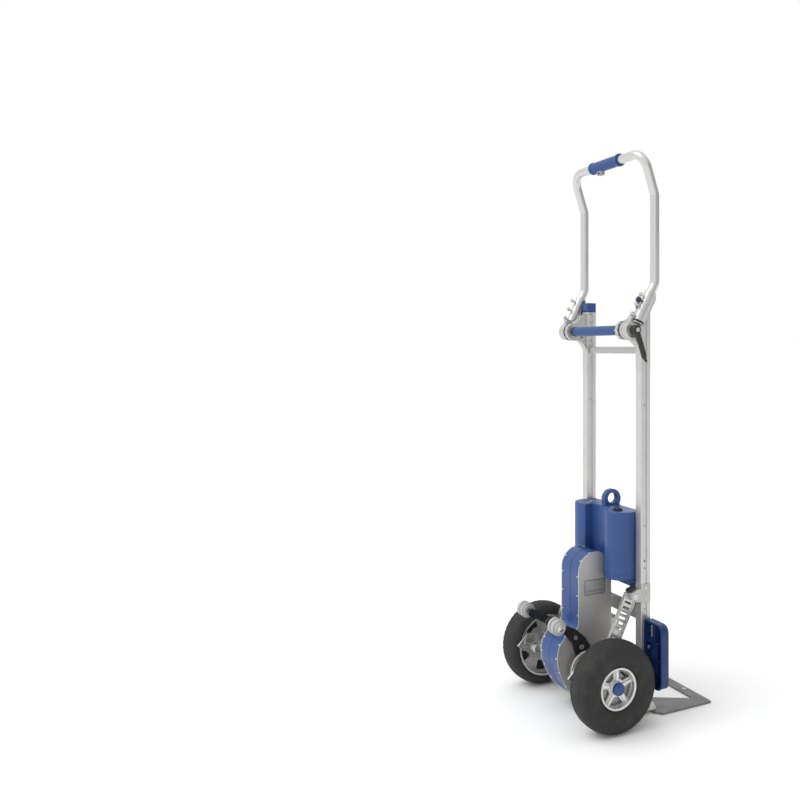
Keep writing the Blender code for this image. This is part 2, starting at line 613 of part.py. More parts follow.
lobe = arc(*LOBE, LOBE_R, -22, 118, 12)
half = [(0.0, -160.0), (126.0, -160.0), (130.5, -156.0), (130.5, -131.5), *lobe, (54.0, -72.0), (52.0, -77.0),
        (52.0, -101.5), (0.0, -101.5)]
outline = half + [(-x, y) for x, y in reversed(half[1:-1])]
case = prism(outline, "Z", BATTERY_LOW, BATTERY_TOP)
rim_edges = [e for e in case.edges
             if all(abs(v.co.z - BATTERY_TOP) < 0.01 for v in e.verts) and len(e.link_faces) == 2]
bmesh.ops.bevel(case, geom=rim_edges, offset=6.0, segments=2, affect="EDGES", clamp_overlap=True)
finish("battery_case", case, "blue", (0, -112.0, BATTERY_LOW), 40)
ring_outline = [(-159, BATTERY_TOP + GAP), *arc(-134, 617, 31, 205, -25, 12), (-107, BATTERY_TOP + GAP)]
finish("battery_carry_ring", prism(ring_outline, "X", -9.0, 9.0, holes=[circle(-134, 620, 16.5, 16)]),
       "blue", (0, -134.0, BATTERY_TOP))
latch = box(-97.0, -75.0, -108.0, -92.0, BATTERY_TOP + GAP, BATTERY_TOP + 7.0, 1.5)
finish("battery_latch", latch, "black", (-86.0, -100.0, BATTERY_TOP))
tray = prism([(-160, 361), (-150, 361), (-150, 384), (-103, 384), (-103, 395.6), (-160, 395.6)],
             "X", -130.5, 130.5)
finish("battery_tray", tray, "blue", (0, -130.0, 390.0))
connector = box(-128.0, -86.0, -157.0, -128.0, 316.0, 360.6, 2.0)
finish("power_connector", connector, "dark_blue", (-107.0, -142.0, 338.0))

# ---------------------------------------------------------------- handle


SOCKET_LOW = (-97.0, 1157.0)


def leg_at(s, side=1):
    """A point on the leg's slanted lower length, s millimetres up from the socket's foot."""
    foot = Vector((187.5, *SOCKET_LOW))
    up = Vector((LEG_X, LEG_Y, LEG_LOW)) - foot
    p = foot + up.normalized() * s
    return (side * p.x, p.y, p.z)


def make_hinge_bracket(side, label):
    a, b = span(side, 135.0, 161.0)
    y, z = PIVOT
    outline = [(RAIL_BACK + GAP, 1200), (RAIL_BACK + GAP, 1082), (-121, 1096), (-108, 1108),
               *arc(y, z, 27, -100, 95, 9), (-100, 1176)]
    arm = prism(outline, "X", a, b)
    disc = rod("X", (0, y, z), 28.0, *span(side, 133.6, 169.6), 22, 1.5)
    relief = rod("X", (0, -110.0, 1122.0), 7.0, *span(side, 130.0, 166.0), 12)
    bore = rod("X", (0, y, z), 7.4, *span(side, 120.0, 180.0), 14)
    heads = [rod("X", (0, -121.0, hz), 4.5, *span(side, 160.0, 164.0), 8) for hz in (1180.0, 1106.0)]
    combine(f"hinge_bracket_{label}", arm,
            [disc, *heads, (relief, "DIFFERENCE"), (bore, "DIFFERENCE")],
            "cast", (side * 148.0, y, z))


def make_socket(side, label):
    """Moving hinge disc with a slanted clamp socket around the handle's leg."""
    y, z = PIVOT
    low = Vector(SOCKET_LOW)
    d = (Vector((LEG_Y, LEG_LOW)) - low).normalized()
    n = Vector((-d.y, d.x))

    def at(s, t):
        p = low + d * s + n * t
        return (p.x, p.y)

    length = 104.0
    block = prism([at(0, -17), at(length, -17), at(length, 17), at(0, 17)], "X", *span(side, 172.5, 202.5))
    bmesh.ops.bevel(block, geom=[e for e in block.edges if abs(e.verts[0].co.x - e.verts[1].co.x) < 0.01],
                    offset=6.0, segments=2, affect="EDGES")
    disc = rod("X", (0, y, z), 27.0, *span(side, 170.0, 190.0), 22, 1.5)
    root = prism([at(-24, -15), at(14, -15), at(14, 15), at(-24, 15)], "X", *span(side, 172.0, 189.0))
    bores = [
        (tube([leg_at(8, side), leg_at(length + 20, side)], TUBE_R + 0.6, 14), "DIFFERENCE"),
        (rod("X", (0, y, z), 7.4, *span(side, 160.0, 230.0), 14), "DIFFERENCE"),
    ]
    bolts = []
    for s in (18.0, 50.0, 82.0):
        mid = Vector(at(s, 0))
        bm = lathe_open([(0, 15.5), (3.6, 15.5), (3.6, 24.0), (5.6, 24.0), (5.6, 29.0), (0, 29.0)], 8)
        turn = Vector((0, 0, 1)).rotation_difference(Vector((0, -n.x, -n.y))).to_matrix().to_4x4()
        bmesh.ops.transform(bm, matrix=turn, verts=bm.verts)
        bmesh.ops.translate(bm, verts=bm.verts, vec=(side * 187.5, mid.x, mid.y))
        bolts.append(bm)
    combine(f"handle_socket_{label}", block, [disc, root, *bolts, *bores], "cast", (side * 180.0, y, z))


both_sides(make_hinge_bracket)
both_sides(make_socket)
finish("tilt_shaft", rod("X", (0, *PIVOT), 7.0, -204.0, 194.0, 14, 1.0), "steel", (0, *PIVOT))
grip_profile = [(7.6, -131), (13.0, -131), (14.5, -129), (14.5, 129), (13.0, 131), (7.6, 131)]
grip = lathe(grip_profile, "X", (0, *PIVOT), 20)
finish("lower_grip", grip, "blue_foam", (0, *PIVOT))

slant = Vector((BAR_Y - LEG_Y, BAR_Z - LEG_HIGH)).normalized()
rise = (Vector((BAR_Y, BAR_Z)) - Vector((LEG_Y, LEG_HIGH))).length
BEND = 48.0
half_path = [leg_at(14), leg_at(122), (LEG_X, LEG_Y + 1.2, LEG_LOW - 1), (LEG_X, LEG_Y, LEG_LOW + 11),
             (LEG_X, LEG_Y, LEG_HIGH - 10),
             (LEG_X, LEG_Y + 0.8, LEG_HIGH), (LEG_X, LEG_Y + slant.x * 11, LEG_HIGH + slant.y * 11)]
for k in range(7):
    t = math.radians(90 * k / 6)
    s = rise - BEND + BEND * math.sin(t)
    half_path.append((LEG_X - BEND + BEND * math.cos(t), LEG_Y + slant.x * s, LEG_HIGH + slant.y * s))
path = half_path + [(-x, y, z) for x, y, z in reversed(half_path)]
finish("handle_tube", tube(path, TUBE_R, 12), "steel", (0, *PIVOT), 50)
foam = lathe([(TUBE_R + 0.4, -76), (19.0, -76), (19.5, -72), (17.0, -63), (17.0, 63), (19.5, 72), (19.0, 76),
              (TUBE_R + 0.4, 76)], "X", (0, BAR_Y, BAR_Z), 24)
finish("top_grip", foam, "blue_foam", (0, BAR_Y, BAR_Z))

# Travel switch: a saddle under the grip, with its push button set into the face towards the user.
SWITCH_X, SWITCH_Z = 30.0, BAR_Z - 23.0
housing = box(SWITCH_X - 11.0, SWITCH_X + 11.0, BAR_Y - 8.0, BAR_Y + 8.0, BAR_Z - 28.5, BAR_Z - 8.0, 1.5)
saddle = rod("X", (0, BAR_Y, BAR_Z), 17.0 + GAP, SWITCH_X - 16.0, SWITCH_X + 16.0, 24)
pocket = rod("Y", (SWITCH_X, 0, SWITCH_Z), 3.8, BAR_Y, BAR_Y + 12.0, 14)
combine("control_housing", housing, [(saddle, "DIFFERENCE"), (pocket, "DIFFERENCE")], "grey",
        (SWITCH_X, BAR_Y, SWITCH_Z))
finish("control_button", rod("Y", (SWITCH_X, 0, SWITCH_Z), 3.4, BAR_Y + 3.2, BAR_Y + 10.6, 14, 0.6),
       "blue", (SWITCH_X, BAR_Y + 8.0, SWITCH_Z))

lever_hub = rod("X", (0, *PIVOT), 13.0, -213.0, -190.4, 18, 2.0)
lever_arm = tube([(-205.0, PIVOT[0], PIVOT[1]), (-206.0, -93.0, 1112.0), (-207.0, -105.0, 1072.0),
                  (-207.0, -110.0, 1058.0)], 8.0, 12)
lever_tip = tube([(-207.0, -109.0, 1062.0), (-207.0, -115.0, 1050.0)], 4.0, 8)
lever_bore = rod("X", (0, *PIVOT), 7.4, -206.0, -180.0, 14)
combine("clamp_lever", lever_hub, [lever_arm, lever_tip, (lever_bore, "DIFFERENCE")], "black",
        (-202.0, *PIVOT))
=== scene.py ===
"""Stair climbing trolley: the looks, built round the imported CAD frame. Sizes are in millimetres."""

import math

import bmesh
import bpy
from mathutils import Matrix, Vector


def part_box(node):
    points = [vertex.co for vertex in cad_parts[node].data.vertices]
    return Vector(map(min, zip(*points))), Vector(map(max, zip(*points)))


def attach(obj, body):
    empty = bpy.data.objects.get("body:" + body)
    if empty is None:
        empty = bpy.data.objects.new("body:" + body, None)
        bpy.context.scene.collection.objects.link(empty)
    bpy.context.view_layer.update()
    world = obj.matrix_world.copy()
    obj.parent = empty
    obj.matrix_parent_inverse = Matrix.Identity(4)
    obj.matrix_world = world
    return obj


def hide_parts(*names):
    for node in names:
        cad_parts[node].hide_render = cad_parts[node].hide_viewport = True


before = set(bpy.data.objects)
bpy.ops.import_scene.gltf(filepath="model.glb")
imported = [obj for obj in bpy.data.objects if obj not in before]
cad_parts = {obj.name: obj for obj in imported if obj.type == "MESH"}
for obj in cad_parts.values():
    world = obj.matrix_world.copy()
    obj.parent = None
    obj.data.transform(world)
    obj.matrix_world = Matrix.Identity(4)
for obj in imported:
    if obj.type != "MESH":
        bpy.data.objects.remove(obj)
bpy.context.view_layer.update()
MM = 0.001


def mm_box(node):
    """A CAD node's box in millimetres, with Y counted from the wheel axle."""
    low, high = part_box(node)
    shift = Vector((0.0, AXLE_Y, 0.0))
    return (low - shift) / MM, (high - shift) / MM


axle_low, axle_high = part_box("axle")
AXLE_Y = (axle_low.y + axle_high.y) / 2
AXLE_Z = (axle_low.z + axle_high.z) / 2 / MM
SIDES = ((1, "left"), (-1, "right"))

# ---------------------------------------------------------------- materials


class Shader:
    """A Principled material with short ways to add noise, bump and colour variation in metres."""

    def __init__(self, name, colour, roughness, metallic=0.0, **more):
        self.material = bpy.data.materials.new(name)
        self.material.use_nodes = True
        self.tree = self.material.node_tree
        self.bsdf = self.tree.nodes["Principled BSDF"]
        self.colour = colour
        self.roughness = roughness
        self.bsdf.inputs["Base Color"].default_value = (*colour, 1.0)
        self.bsdf.inputs["Roughness"].default_value = roughness
        self.bsdf.inputs["Metallic"].default_value = metallic
        for socket, value in more.items():
            self.bsdf.inputs[socket.replace("_", " ")].default_value = value
        self.material.diffuse_color = (*colour, 1.0)
        self.place = self.add("ShaderNodeTexCoord").outputs["Object"]
        self.height = None

    def add(self, kind, **settings):
        node = self.tree.nodes.new(kind)
        for key, value in settings.items():
            setattr(node, key, value)
        return node

    def link(self, a, b):
        self.tree.links.new(a, b)

    def stretched(self, scale):
        node = self.add("ShaderNodeMapping")
        node.inputs["Scale"].default_value = scale
        self.link(self.place, node.inputs["Vector"])
        return node.outputs["Vector"]

    def noise(self, scale, detail=3.0, stretch=(1, 1, 1), roughness=0.5):
        node = self.add("ShaderNodeTexNoise")
        node.inputs["Scale"].default_value = scale
        node.inputs["Detail"].default_value = detail
        node.inputs["Roughness"].default_value = roughness
        self.link(self.stretched(stretch), node.inputs["Vector"])
        return node.outputs["Fac"]

    def cells(self, scale, stretch=(1, 1, 1), feature="F1"):
        node = self.add("ShaderNodeTexVoronoi", feature=feature)
        node.inputs["Scale"].default_value = scale
        self.link(self.stretched(stretch), node.inputs["Vector"])
        return node.outputs["Distance"]

    def ramp(self, value, low, high, out_low=0.0, out_high=1.0):
        node = self.add("ShaderNodeMapRange")
        limits = {"From Min": low, "From Max": high, "To Min": out_low, "To Max": out_high}
        for name, number in limits.items():
            node.inputs[name].default_value = number
        self.link(value, node.inputs["Value"])
        return node.outputs["Result"]

    def multiply(self, a, b):
        node = self.add("ShaderNodeMath", operation="MULTIPLY")
        self.link(a, node.inputs[0])
        self.link(b, node.inputs[1])
        return node.outputs["Value"]

    def tint(self, mask, colour):
        """Mixes another colour in where the mask is 1."""
        node = self.add("ShaderNodeMix", data_type="RGBA")
        base = self.bsdf.inputs["Base Color"]
        if base.is_linked:
            self.link(base.links[0].from_socket, node.inputs[6])
        else:
            node.inputs[6].default_value = base.default_value
        node.inputs[7].default_value = (*colour, 1.0)
        self.link(mask, node.inputs[0])
        self.link(node.outputs[2], base)
        return self

    def rough(self, value, low, high):
        """Roughness runs from low to high as the 0 to 1 value does."""
        self.link(self.ramp(value, 0.25, 0.75, low, high), self.bsdf.inputs["Roughness"])
        return self

    def bump(self, value, depth, strength=1.0):
        """Adds relief of the given depth in metres."""
        node = self.add("ShaderNodeBump")
        node.inputs["Distance"].default_value = depth
        node.inputs["Strength"].default_value = strength
        self.link(value, node.inputs["Height"])
        if self.height is not None:
            self.link(self.height, node.inputs["Normal"])
        self.height = node.outputs["Normal"]
        self.link(self.height, self.bsdf.inputs["Normal"])
        return self


def shade(colour, factor):
    return tuple(min(1.0, c * factor) for c in colour)


def moulded_plastic(name, colour, roughness, grain=0.00004):
    """Injection moulding: fine spark texture, slow gloss changes, a few pale scuffs."""
    s = Shader(name, colour, roughness, Specular_IOR_Level=0.45)
    s.tint(s.ramp(s.noise(9, 4), 0.35, 0.7, 0.0, 0.35), shade(colour, 0.80))
    scuffs = s.multiply(s.ramp(s.noise(34, 5, (1, 1, 0.12)), 0.62, 0.72), s.ramp(s.noise(7, 2), 0.5, 0.62))
    s.tint(s.ramp(scuffs, 0, 1, 0.0, 0.35), tuple(c * 0.6 + 0.22 for c in colour))
    s.rough(s.noise(26, 4), roughness - 0.08, roughness + 0.12)
    s.bump(s.noise(1500, 2), grain, 0.5)
    return s.material


def brushed(name, colour, roughness, along, metallic=1.0, scratch=0.35):
    """Drawn or brushed metal: fine lines along one axis, faint smears and handling marks."""
    stretch = {"X": (0.02, 1, 1), "Y": (1, 0.02, 1), "Z": (1, 1, 0.02)}[along]
    s = Shader(name, colour, roughness, metallic)
    lines = s.noise(900, 3, stretch)
    s.tint(s.ramp(lines, 0.3, 0.7, 0.0, scratch), shade(colour, 0.86))
    smear = s.noise(14, 5, roughness=0.62)
    s.tint(s.ramp(smear, 0.55, 0.75, 0.0, 0.30), shade(colour, 0.80))
    s.rough(smear, roughness - 0.07, roughness + 0.14)
    s.bump(lines, 0.00002, 0.5)
    marks = s.multiply(s.ramp(s.noise(120, 2, (1, 1, 0.1)), 0.70, 0.74), s.ramp(s.noise(11, 2), 0.52, 0.6))
    s.tint(s.ramp(marks, 0, 1, 0.0, 0.5), shade(colour, 0.62))
    return s.material


def satin_tube(name, colour, roughness):
    """Polished and anodised tube, the same along and round the bends, with hand marks."""
    s = Shader(name, colour, roughness, 1.0)
    smear = s.noise(11, 5, roughness=0.6)
    s.tint(s.ramp(smear, 0.50, 0.75, 0.0, 0.25), shade(colour, 0.82))
    s.rough(smear, roughness - 0.05, roughness + 0.12)
    s.bump(s.noise(90, 3), 0.00001, 0.3)
    return s.material


def cast_metal(name, colour, roughness, metallic=0.85):
    """Die casting after tumbling: pebbled skin, darker in the low spots."""
    s = Shader(name, colour, roughness, metallic)
    skin = s.noise(520, 4, roughness=0.6)
    s.tint(s.ramp(skin, 0.35, 0.6, 0.35, 0.0), shade(colour, 0.62))
    s.tint(s.ramp(s.noise(24, 4), 0.5, 0.75, 0.0, 0.35), shade(colour, 0.74))
    s.rough(s.noise(60, 4), roughness - 0.10, roughness + 0.12)
    s.bump(skin, 0.00016, 0.55)
    return s.material


def zinc_plate(name, colour):
    """Bright zinc: cloudy patches, slightly yellow and slightly blue."""
    s = Shader(name, colour, 0.30, 1.0)
    cloud = s.noise(40, 5, roughness=0.6)
    s.tint(s.ramp(cloud, 0.50, 0.72, 0.0, 0.40), (0.74, 0.70, 0.58))
    s.tint(s.ramp(s.noise(31, 4), 0.54, 0.74, 0.0, 0.35), (0.56, 0.60, 0.66))
    s.rough(s.noise(85, 4), 0.20, 0.42)
    s.bump(s.noise(700, 3), 0.00003, 0.5)
    return s.material


def rubber(name, colour, roughness=0.78):
    """Black rubber: dust in the low spots, fine matt skin."""
    s = Shader(name, colour, roughness, Specular_IOR_Level=0.35)
    dust = s.noise(30, 6, roughness=0.65)
    s.tint(s.ramp(dust, 0.48, 0.78, 0.0, 0.30), (0.085, 0.080, 0.072))
    s.rough(s.noise(55, 4), roughness - 0.12, roughness + 0.10)
    s.bump(s.noise(420, 4), 0.00015, 0.6)
    return s.material


def foam(name, colour):
    """Closed-cell foam: small round cells under a soft skin."""
    s = Shader(name, colour, 0.72, Specular_IOR_Level=0.30, Sheen_Weight=0.25, Sheen_Roughness=0.4)
    cells = s.cells(620)
    s.tint(s.ramp(cells, 0.15, 0.6, 0.0, 0.30), shade(colour, 0.55))
    s.tint(s.ramp(s.noise(28, 4), 0.5, 0.75, 0.0, 0.45), shade(colour, 0.70))
    s.bump(cells, 0.0003, 0.45)
    return s.material


def coated_steel(name, colour, roughness, chip=(0.30, 0.30, 0.29)):
    """Powder coat: orange peel, with small chips and rubbed patches."""
    s = Shader(name, colour, roughness, 0.0, Specular_IOR_Level=0.5)
    chips = s.multiply(s.ramp(s.noise(190, 3), 0.66, 0.70), s.ramp(s.noise(18, 2), 0.54, 0.62))
    s.tint(chips, chip)
    s.rough(s.noise(22, 4), roughness - 0.08, roughness + 0.12)
    s.bump(s.noise(330, 2), 0.00012, 0.45)
    return s.material


def plate_steel(name, colour):
    """Rolled plate under thin grey lacquer, scratched along its length by loads."""
    s = Shader(name, colour, 0.48, 0.35)
    long_marks = s.ramp(s.noise(75, 4, (1.0, 0.05, 1.0)), 0.60, 0.68)
    cross_marks = s.ramp(s.noise(62, 4, (0.06, 1.0, 1.0)), 0.64, 0.70)
    patch = s.ramp(s.noise(10, 4), 0.42, 0.66)
    s.tint(s.ramp(patch, 0, 1, 0.0, 0.30), shade(colour, 1.25))
    s.tint(s.ramp(s.multiply(long_marks, patch), 0, 1, 0.0, 0.6), shade(colour, 1.9))
    s.tint(s.ramp(s.multiply(cross_marks, patch), 0, 1, 0.0, 0.5), shade(colour, 1.7))
    s.rough(s.noise(28, 5), 0.38, 0.62)
    s.bump(s.noise(240, 4), 0.00008, 0.5)
    return s.material


BLUE = (0.024, 0.068, 0.225)
LOOKS = {
    "blue": moulded_plastic("blue_moulding", BLUE, 0.36),
    "deep_blue": moulded_plastic("guard_moulding", (0.007, 0.026, 0.125), 0.38),
    "grip": foam("grip_foam", (0.028, 0.080, 0.250)),
    "socket_blue": moulded_plastic("plug_moulding", (0.014, 0.022, 0.060), 0.45),
    "rail": brushed("rail_anodised", (0.60, 0.595, 0.585), 0.40, "Z", 0.75),
    "bar": brushed("crossbar_anodised", (0.50, 0.50, 0.495), 0.42, "X", 0.75),
    "side": brushed("drive_plate_anodised", (0.46, 0.455, 0.44), 0.46, "Z", 0.65),
    "tube": satin_tube("tube_satin", (0.62, 0.62, 0.61), 0.27),
    "cast": cast_metal("die_casting", (0.56, 0.56, 0.55), 0.40),
    "wheel": cast_metal("wheel_casting", (0.74, 0.74, 0.73), 0.36),
    # a darker copy of the wheel casting for the web between the spokes: painted shade in that recess
    "shaded_wheel_web": cast_metal("wheel_web_casting", (0.42, 0.42, 0.41), 0.55),
    "zinc": zinc_plate("zinc_plated", (0.62, 0.62, 0.60)),
    "steel": brushed("turned_steel", (0.62, 0.62, 0.62), 0.26, "X", 1.0),
    "screw": zinc_plate("screw_zinc", (0.78, 0.78, 0.77)),
    "hole": coated_steel("shadow_hole", (0.012, 0.012, 0.013), 0.7, (0.03, 0.03, 0.03)),
    "toe": plate_steel("toe_plate_steel", (0.175, 0.175, 0.172)),
    "tyre": rubber("tyre_rubber", (0.026, 0.026, 0.026)),
    "foot": rubber("foot_rubber", (0.022, 0.022, 0.023), 0.70),
    "roller": moulded_plastic("roller_polyurethane", (0.42, 0.42, 0.41), 0.42, 0.00008),
    "white": moulded_plastic("white_moulding", (0.72, 0.72, 0.70), 0.42, 0.00008),
    "grey": moulded_plastic("grey_moulding", (0.34, 0.34, 0.34), 0.50, 0.00008),
    "black": coated_steel("black_coat", (0.014, 0.014, 0.015), 0.42),
    "black_plastic": moulded_plastic("black_moulding", (0.020, 0.020, 0.021), 0.46, 0.0001),
    "label": brushed("label_foil", (0.40, 0.42, 0.41), 0.36, "Y", 0.8),
    "label_line": coated_steel("label_ink", (0.05, 0.055, 0.06), 0.5, (0.1, 0.1, 0.1)),
    "green": moulded_plastic("green_cap", (0.22, 0.36, 0.03), 0.45),
}

# ---------------------------------------------------------------- mesh helpers

AXES = {
    "X": Matrix(((0, 0, 1), (1, 0, 0), (0, 1, 0))),
    "Y": Matrix(((1, 0, 0), (0, 0, 1), (0, 1, 0))),
    "Z": Matrix.Identity(3),
}


def arc(cx, cy, r, start, end, steps):
    """Points along a circle's arc, its angles in degrees."""
    turn = [math.radians(start + (end - start) * i / steps) for i in range(steps + 1)]
    return [(cx + r * math.cos(t), cy + r * math.sin(t)) for t in turn]


def circle(cx, cy, r, steps=32):
    return arc(cx, cy, r, 0, 360, steps)[:-1]


def rectangle(x0, x1, y0, y1):
    return [(x0, y0), (x1, y0), (x1, y1), (x0, y1)]


def rounded(points, radius, steps=6):
    """The outline with each corner turned into a smooth curve."""
    out = []
    radii = radius if isinstance(radius, (list, tuple)) else [radius] * len(points)
    for i, point in enumerate(points):
        here = Vector(point)
        before = Vector(points[i - 1]) - here
        after = Vector(points[(i + 1) % len(points)]) - here
        if radii[i] <= 0:
            out.append(tuple(here))
            continue
        longest = 0.48 * min(before.length, after.length)
        back = min(radii[i] / math.tan(before.angle(after) / 2), longest)
        start, stop = here + before.normalized() * back, here + after.normalized() * back
        for k in range(steps + 1):
            t = k / steps
            out.append(tuple((1 - t) ** 2 * start + 2 * t * (1 - t) * here + t * t * stop))
    return out


def handed(side, points):
    """An outline drawn for the trolley's left, mirrored for its right."""
    return points if side > 0 else [(-a, b) for a, b in reversed(points)]


def span(side, near, far):
    """Two distances from the middle plane as a rising pair of X values."""
    return (near, far) if side > 0 else (-far, -near)


def shrink(points, amount):
    """A clockwise outline moved inwards by a constant amount."""
    out = []
    for i, point in enumerate(points):
        p = Vector(point)
        e0 = (p - Vector(points[i - 1])).normalized()
        e1 = (Vector(points[(i + 1) % len(points)]) - p).normalized()
        bisector = Vector((e0.y + e1.y, -(e0.x + e1.x))).normalized()
        scale = amount / max(0.5, bisector.dot(Vector((e1.y, -e1.x))))
        out.append(tuple(p + bisector * scale))
    return out


def area(points):
    return sum(a[0] * b[1] - b[0] * a[1] for a, b in zip(points, points[1:] + points[:1])) / 2


def inset(points, amount):
    """An outline of either direction moved inwards by a constant amount."""
    return shrink(points, -amount if area(points) > 0 else amount)


def turn_out(bm):
    bmesh.ops.recalc_face_normals(bm, faces=bm.faces)
    if bm.calc_volume(signed=True) < 0:
        bmesh.ops.reverse_faces(bm, faces=bm.faces)
    return bm


def prism(outline, axis, low, high, holes=()):
    """A flat outline with holes, pushed along an axis."""
    bm = bmesh.new()
    edges = []
    for loop in [outline, *holes]:
        verts = [bm.verts.new((a, b, low)) for a, b in loop]
        edges += [bm.edges.new((verts[i - 1], verts[i])) for i in range(len(verts))]
    if holes:
        made = bmesh.ops.triangle_fill(bm, edges=edges, use_beauty=True, use_dissolve=False)
        faces = [g for g in made["geom"] if isinstance(g, bmesh.types.BMFace)]
    else:
        faces = [bm.faces.new([v for v in bm.verts])]
    pushed = bmesh.ops.extrude_face_region(bm, geom=faces, use_keep_orig=True)
    verts = [g for g in pushed["geom"] if isinstance(g, bmesh.types.BMVert)]
    bmesh.ops.translate(bm, verts=verts, vec=(0, 0, high - low))
    bmesh.ops.transform(bm, matrix=AXES[axis].to_4x4(), verts=bm.verts)
    return turn_out(bm)


def box(x0, x1, y0, y1, z0, z1):
    return prism(rectangle(x0, x1, y0, y1), "Z", z0, z1)


def slab(side, outline, near, far, holes=()):
    """A (Y, Z) outline pushed along X between two distances from the middle plane."""
    return prism(outline, "X", *span(side, near, far), holes=holes)


def lathe(profile, axis, centre, steps=64):
    """A (radius, height) profile turned about an axis. One with both ends on the axis is left open."""
    bm = bmesh.new()
    verts = [bm.verts.new((r, 0.0, h)) for r, h in profile]
    first = 1 if profile[0][0] == 0 and profile[-1][0] == 0 else 0
    edges = [bm.edges.new((verts[i - 1], verts[i])) for i in range(first, len(verts))]
    bmesh.ops.spin(
        bm, geom=verts + edges, cent=(0, 0, 0), axis=(0, 0, 1), dvec=(0, 0, 0),
        angle=2 * math.pi, steps=steps, use_merge=True,
    )
    bmesh.ops.remove_doubles(bm, verts=bm.verts, dist=1e-3)
    bmesh.ops.transform(bm, matrix=AXES[axis].to_4x4(), verts=bm.verts)
    bmesh.ops.translate(bm, verts=bm.verts, vec=centre)
    return turn_out(bm)


def rod(axis, centre, radius, low, high, steps=32):
    return lathe([(0, low), (radius, low), (radius, high), (0, high)], axis, centre, steps)


def turned(side, profile, centre, steps=64):
    """A profile turned about X, its heights counted outwards from the centre."""
    return lathe([(r, side * h) for r, h in profile], "X", centre, steps)


def pin(side, place, radius, near, far, steps=32):
    """A round bar along X through a (Y, Z) place."""
    return rod("X", (0, *place), radius, *span(side, near, far), steps)


def tube(points, radius, sides=28):
    """A round bar along a list of points."""
    curve = bpy.data.curves.new("path", "CURVE")
    curve.dimensions = "3D"
    curve.bevel_depth = radius
    curve.bevel_resolution = (sides - 4) // 2
    curve.use_fill_caps = True
    line = curve.splines.new("POLY")
    line.points.add(len(points) - 1)
    for point, spot in zip(line.points, points):
        point.co = (*spot, 1.0)
    obj = bpy.data.objects.new("path", curve)
    bpy.context.scene.collection.objects.link(obj)
    bpy.context.view_layer.update()
    mesh = bpy.data.meshes.new_from_object(obj.evaluated_get(bpy.context.evaluated_depsgraph_get()))
    bm = bmesh.new()
    bm.from_mesh(mesh)
    bpy.data.objects.remove(obj, do_unlink=True)
    bpy.data.curves.remove(curve)
    bpy.data.meshes.remove(mesh)
    bmesh.ops.remove_doubles(bm, verts=bm.verts, dist=1e-2)
    return turn_out(bm)


def bend_path(points, radius, steps=8):
    """The same path with its inner corners rounded off."""
    out = [Vector(points[0])]
    for before, here, after in zip(points, points[1:], points[2:]):
        a, b, c = Vector(before), Vector(here), Vector(after)
        longest = 0.45 * min((b - a).length, (c - b).length)
        reach = min(radius * math.tan((b - a).angle(c - b) / 2), longest)
        start, stop = b + (a - b).normalized() * reach, b + (c - b).normalized() * reach
        for k in range(steps + 1):
            t = k / steps
            out.append((1 - t) ** 2 * start + 2 * t * (1 - t) * b + t * t * stop)
    out.append(Vector(points[-1]))
    return out


def swept(points, radii, sides):
    """A bar whose radius changes from point to point, with rounded ends."""
    spine = [Vector(p) for p in points]
    first, last = spine[0] - spine[1], spine[-1] - spine[-2]
    start, stop = first.normalized() * radii[0], last.normalized() * radii[-1]
    stations = [(spine[0] + start * 0.6, radii[0] * 0.55), (spine[0] + start * 0.3, radii[0] * 0.88)]
    stations += list(zip(spine, radii))
    stations += [(spine[-1] + stop * 0.4, radii[-1] * 0.85), (spine[-1] + stop * 0.75, radii[-1] * 0.5)]
    bm = bmesh.new()
    rings = []
    for i, (centre, radius) in enumerate(stations):
        way = (stations[min(i + 1, len(stations) - 1)][0] - stations[max(i - 1, 0)][0]).normalized()
        u = way.cross(Vector((1, 0, 0))).normalized()
        v = way.cross(u)
        rings.append([bm.verts.new(centre + u * a + v * b) for a, b in circle(0, 0, radius, sides)])
    for a, b in zip(rings, rings[1:]):
        for k in range(sides):
            bm.faces.new((a[k - 1], a[k], b[k], b[k - 1]))
    bm.faces.new(rings[0])
    bm.faces.new(rings[-1][::-1])
    return turn_out(bm)


def stack(outline, levels):
    """The same outline at several heights, each with its own inset, skinned into one closed shape."""
    bm = bmesh.new()
    rings = [[bm.verts.new((x, y, z)) for x, y in inset(outline, amount)] for z, amount in levels]
    for lower, upper in zip(rings, rings[1:]):
        for i in range(len(lower)):
            bm.faces.new((lower[i - 1], lower[i], upper[i], upper[i - 1]))
    bm.faces.new(rings[0][::-1])
    bm.faces.new(rings[-1])
    return bm


def joined(parts):
    """Several separate closed shapes in one mesh."""
    whole = bmesh.new()
    for bm in parts:
        mesh = bpy.data.meshes.new("part")
        bm.to_mesh(mesh)
        bm.free()
        whole.from_mesh(mesh)
        bpy.data.meshes.remove(mesh)
    return whole


def combine(base, *steps):
    """Exact Booleans: each step is ("+", mesh) or ("-", mesh)."""
    scene = bpy.context.scene

    def holder(bm):
        turn_out(bm)
        mesh = bpy.data.meshes.new("tool")
        bm.to_mesh(mesh)
        bm.free()
        obj = bpy.data.objects.new("tool", mesh)
        scene.collection.objects.link(obj)
        return obj

    body = holder(base)
    tools = []
    for sign, bm in steps:
        tools.append(holder(bm))
        modifier = body.modifiers.new("join", "BOOLEAN")
        modifier.operation = "UNION" if sign == "+" else "DIFFERENCE"
        modifier.solver = "EXACT"
        modifier.object = tools[-1]
    bpy.context.view_layer.update()
    result = bmesh.new()
    evaluated = body.evaluated_get(bpy.context.evaluated_depsgraph_get())
    result.from_mesh(evaluated.to_mesh())
    evaluated.to_mesh_clear()
    for obj in [body, *tools]:
        mesh = obj.data
        bpy.data.objects.remove(obj, do_unlink=True)
        bpy.data.meshes.remove(mesh)
    bmesh.ops.remove_doubles(result, verts=result.verts, dist=1e-3)
    flat = math.radians(0.2)
    bmesh.ops.dissolve_limit(result, angle_limit=flat, verts=result.verts, edges=result.edges)
    return result


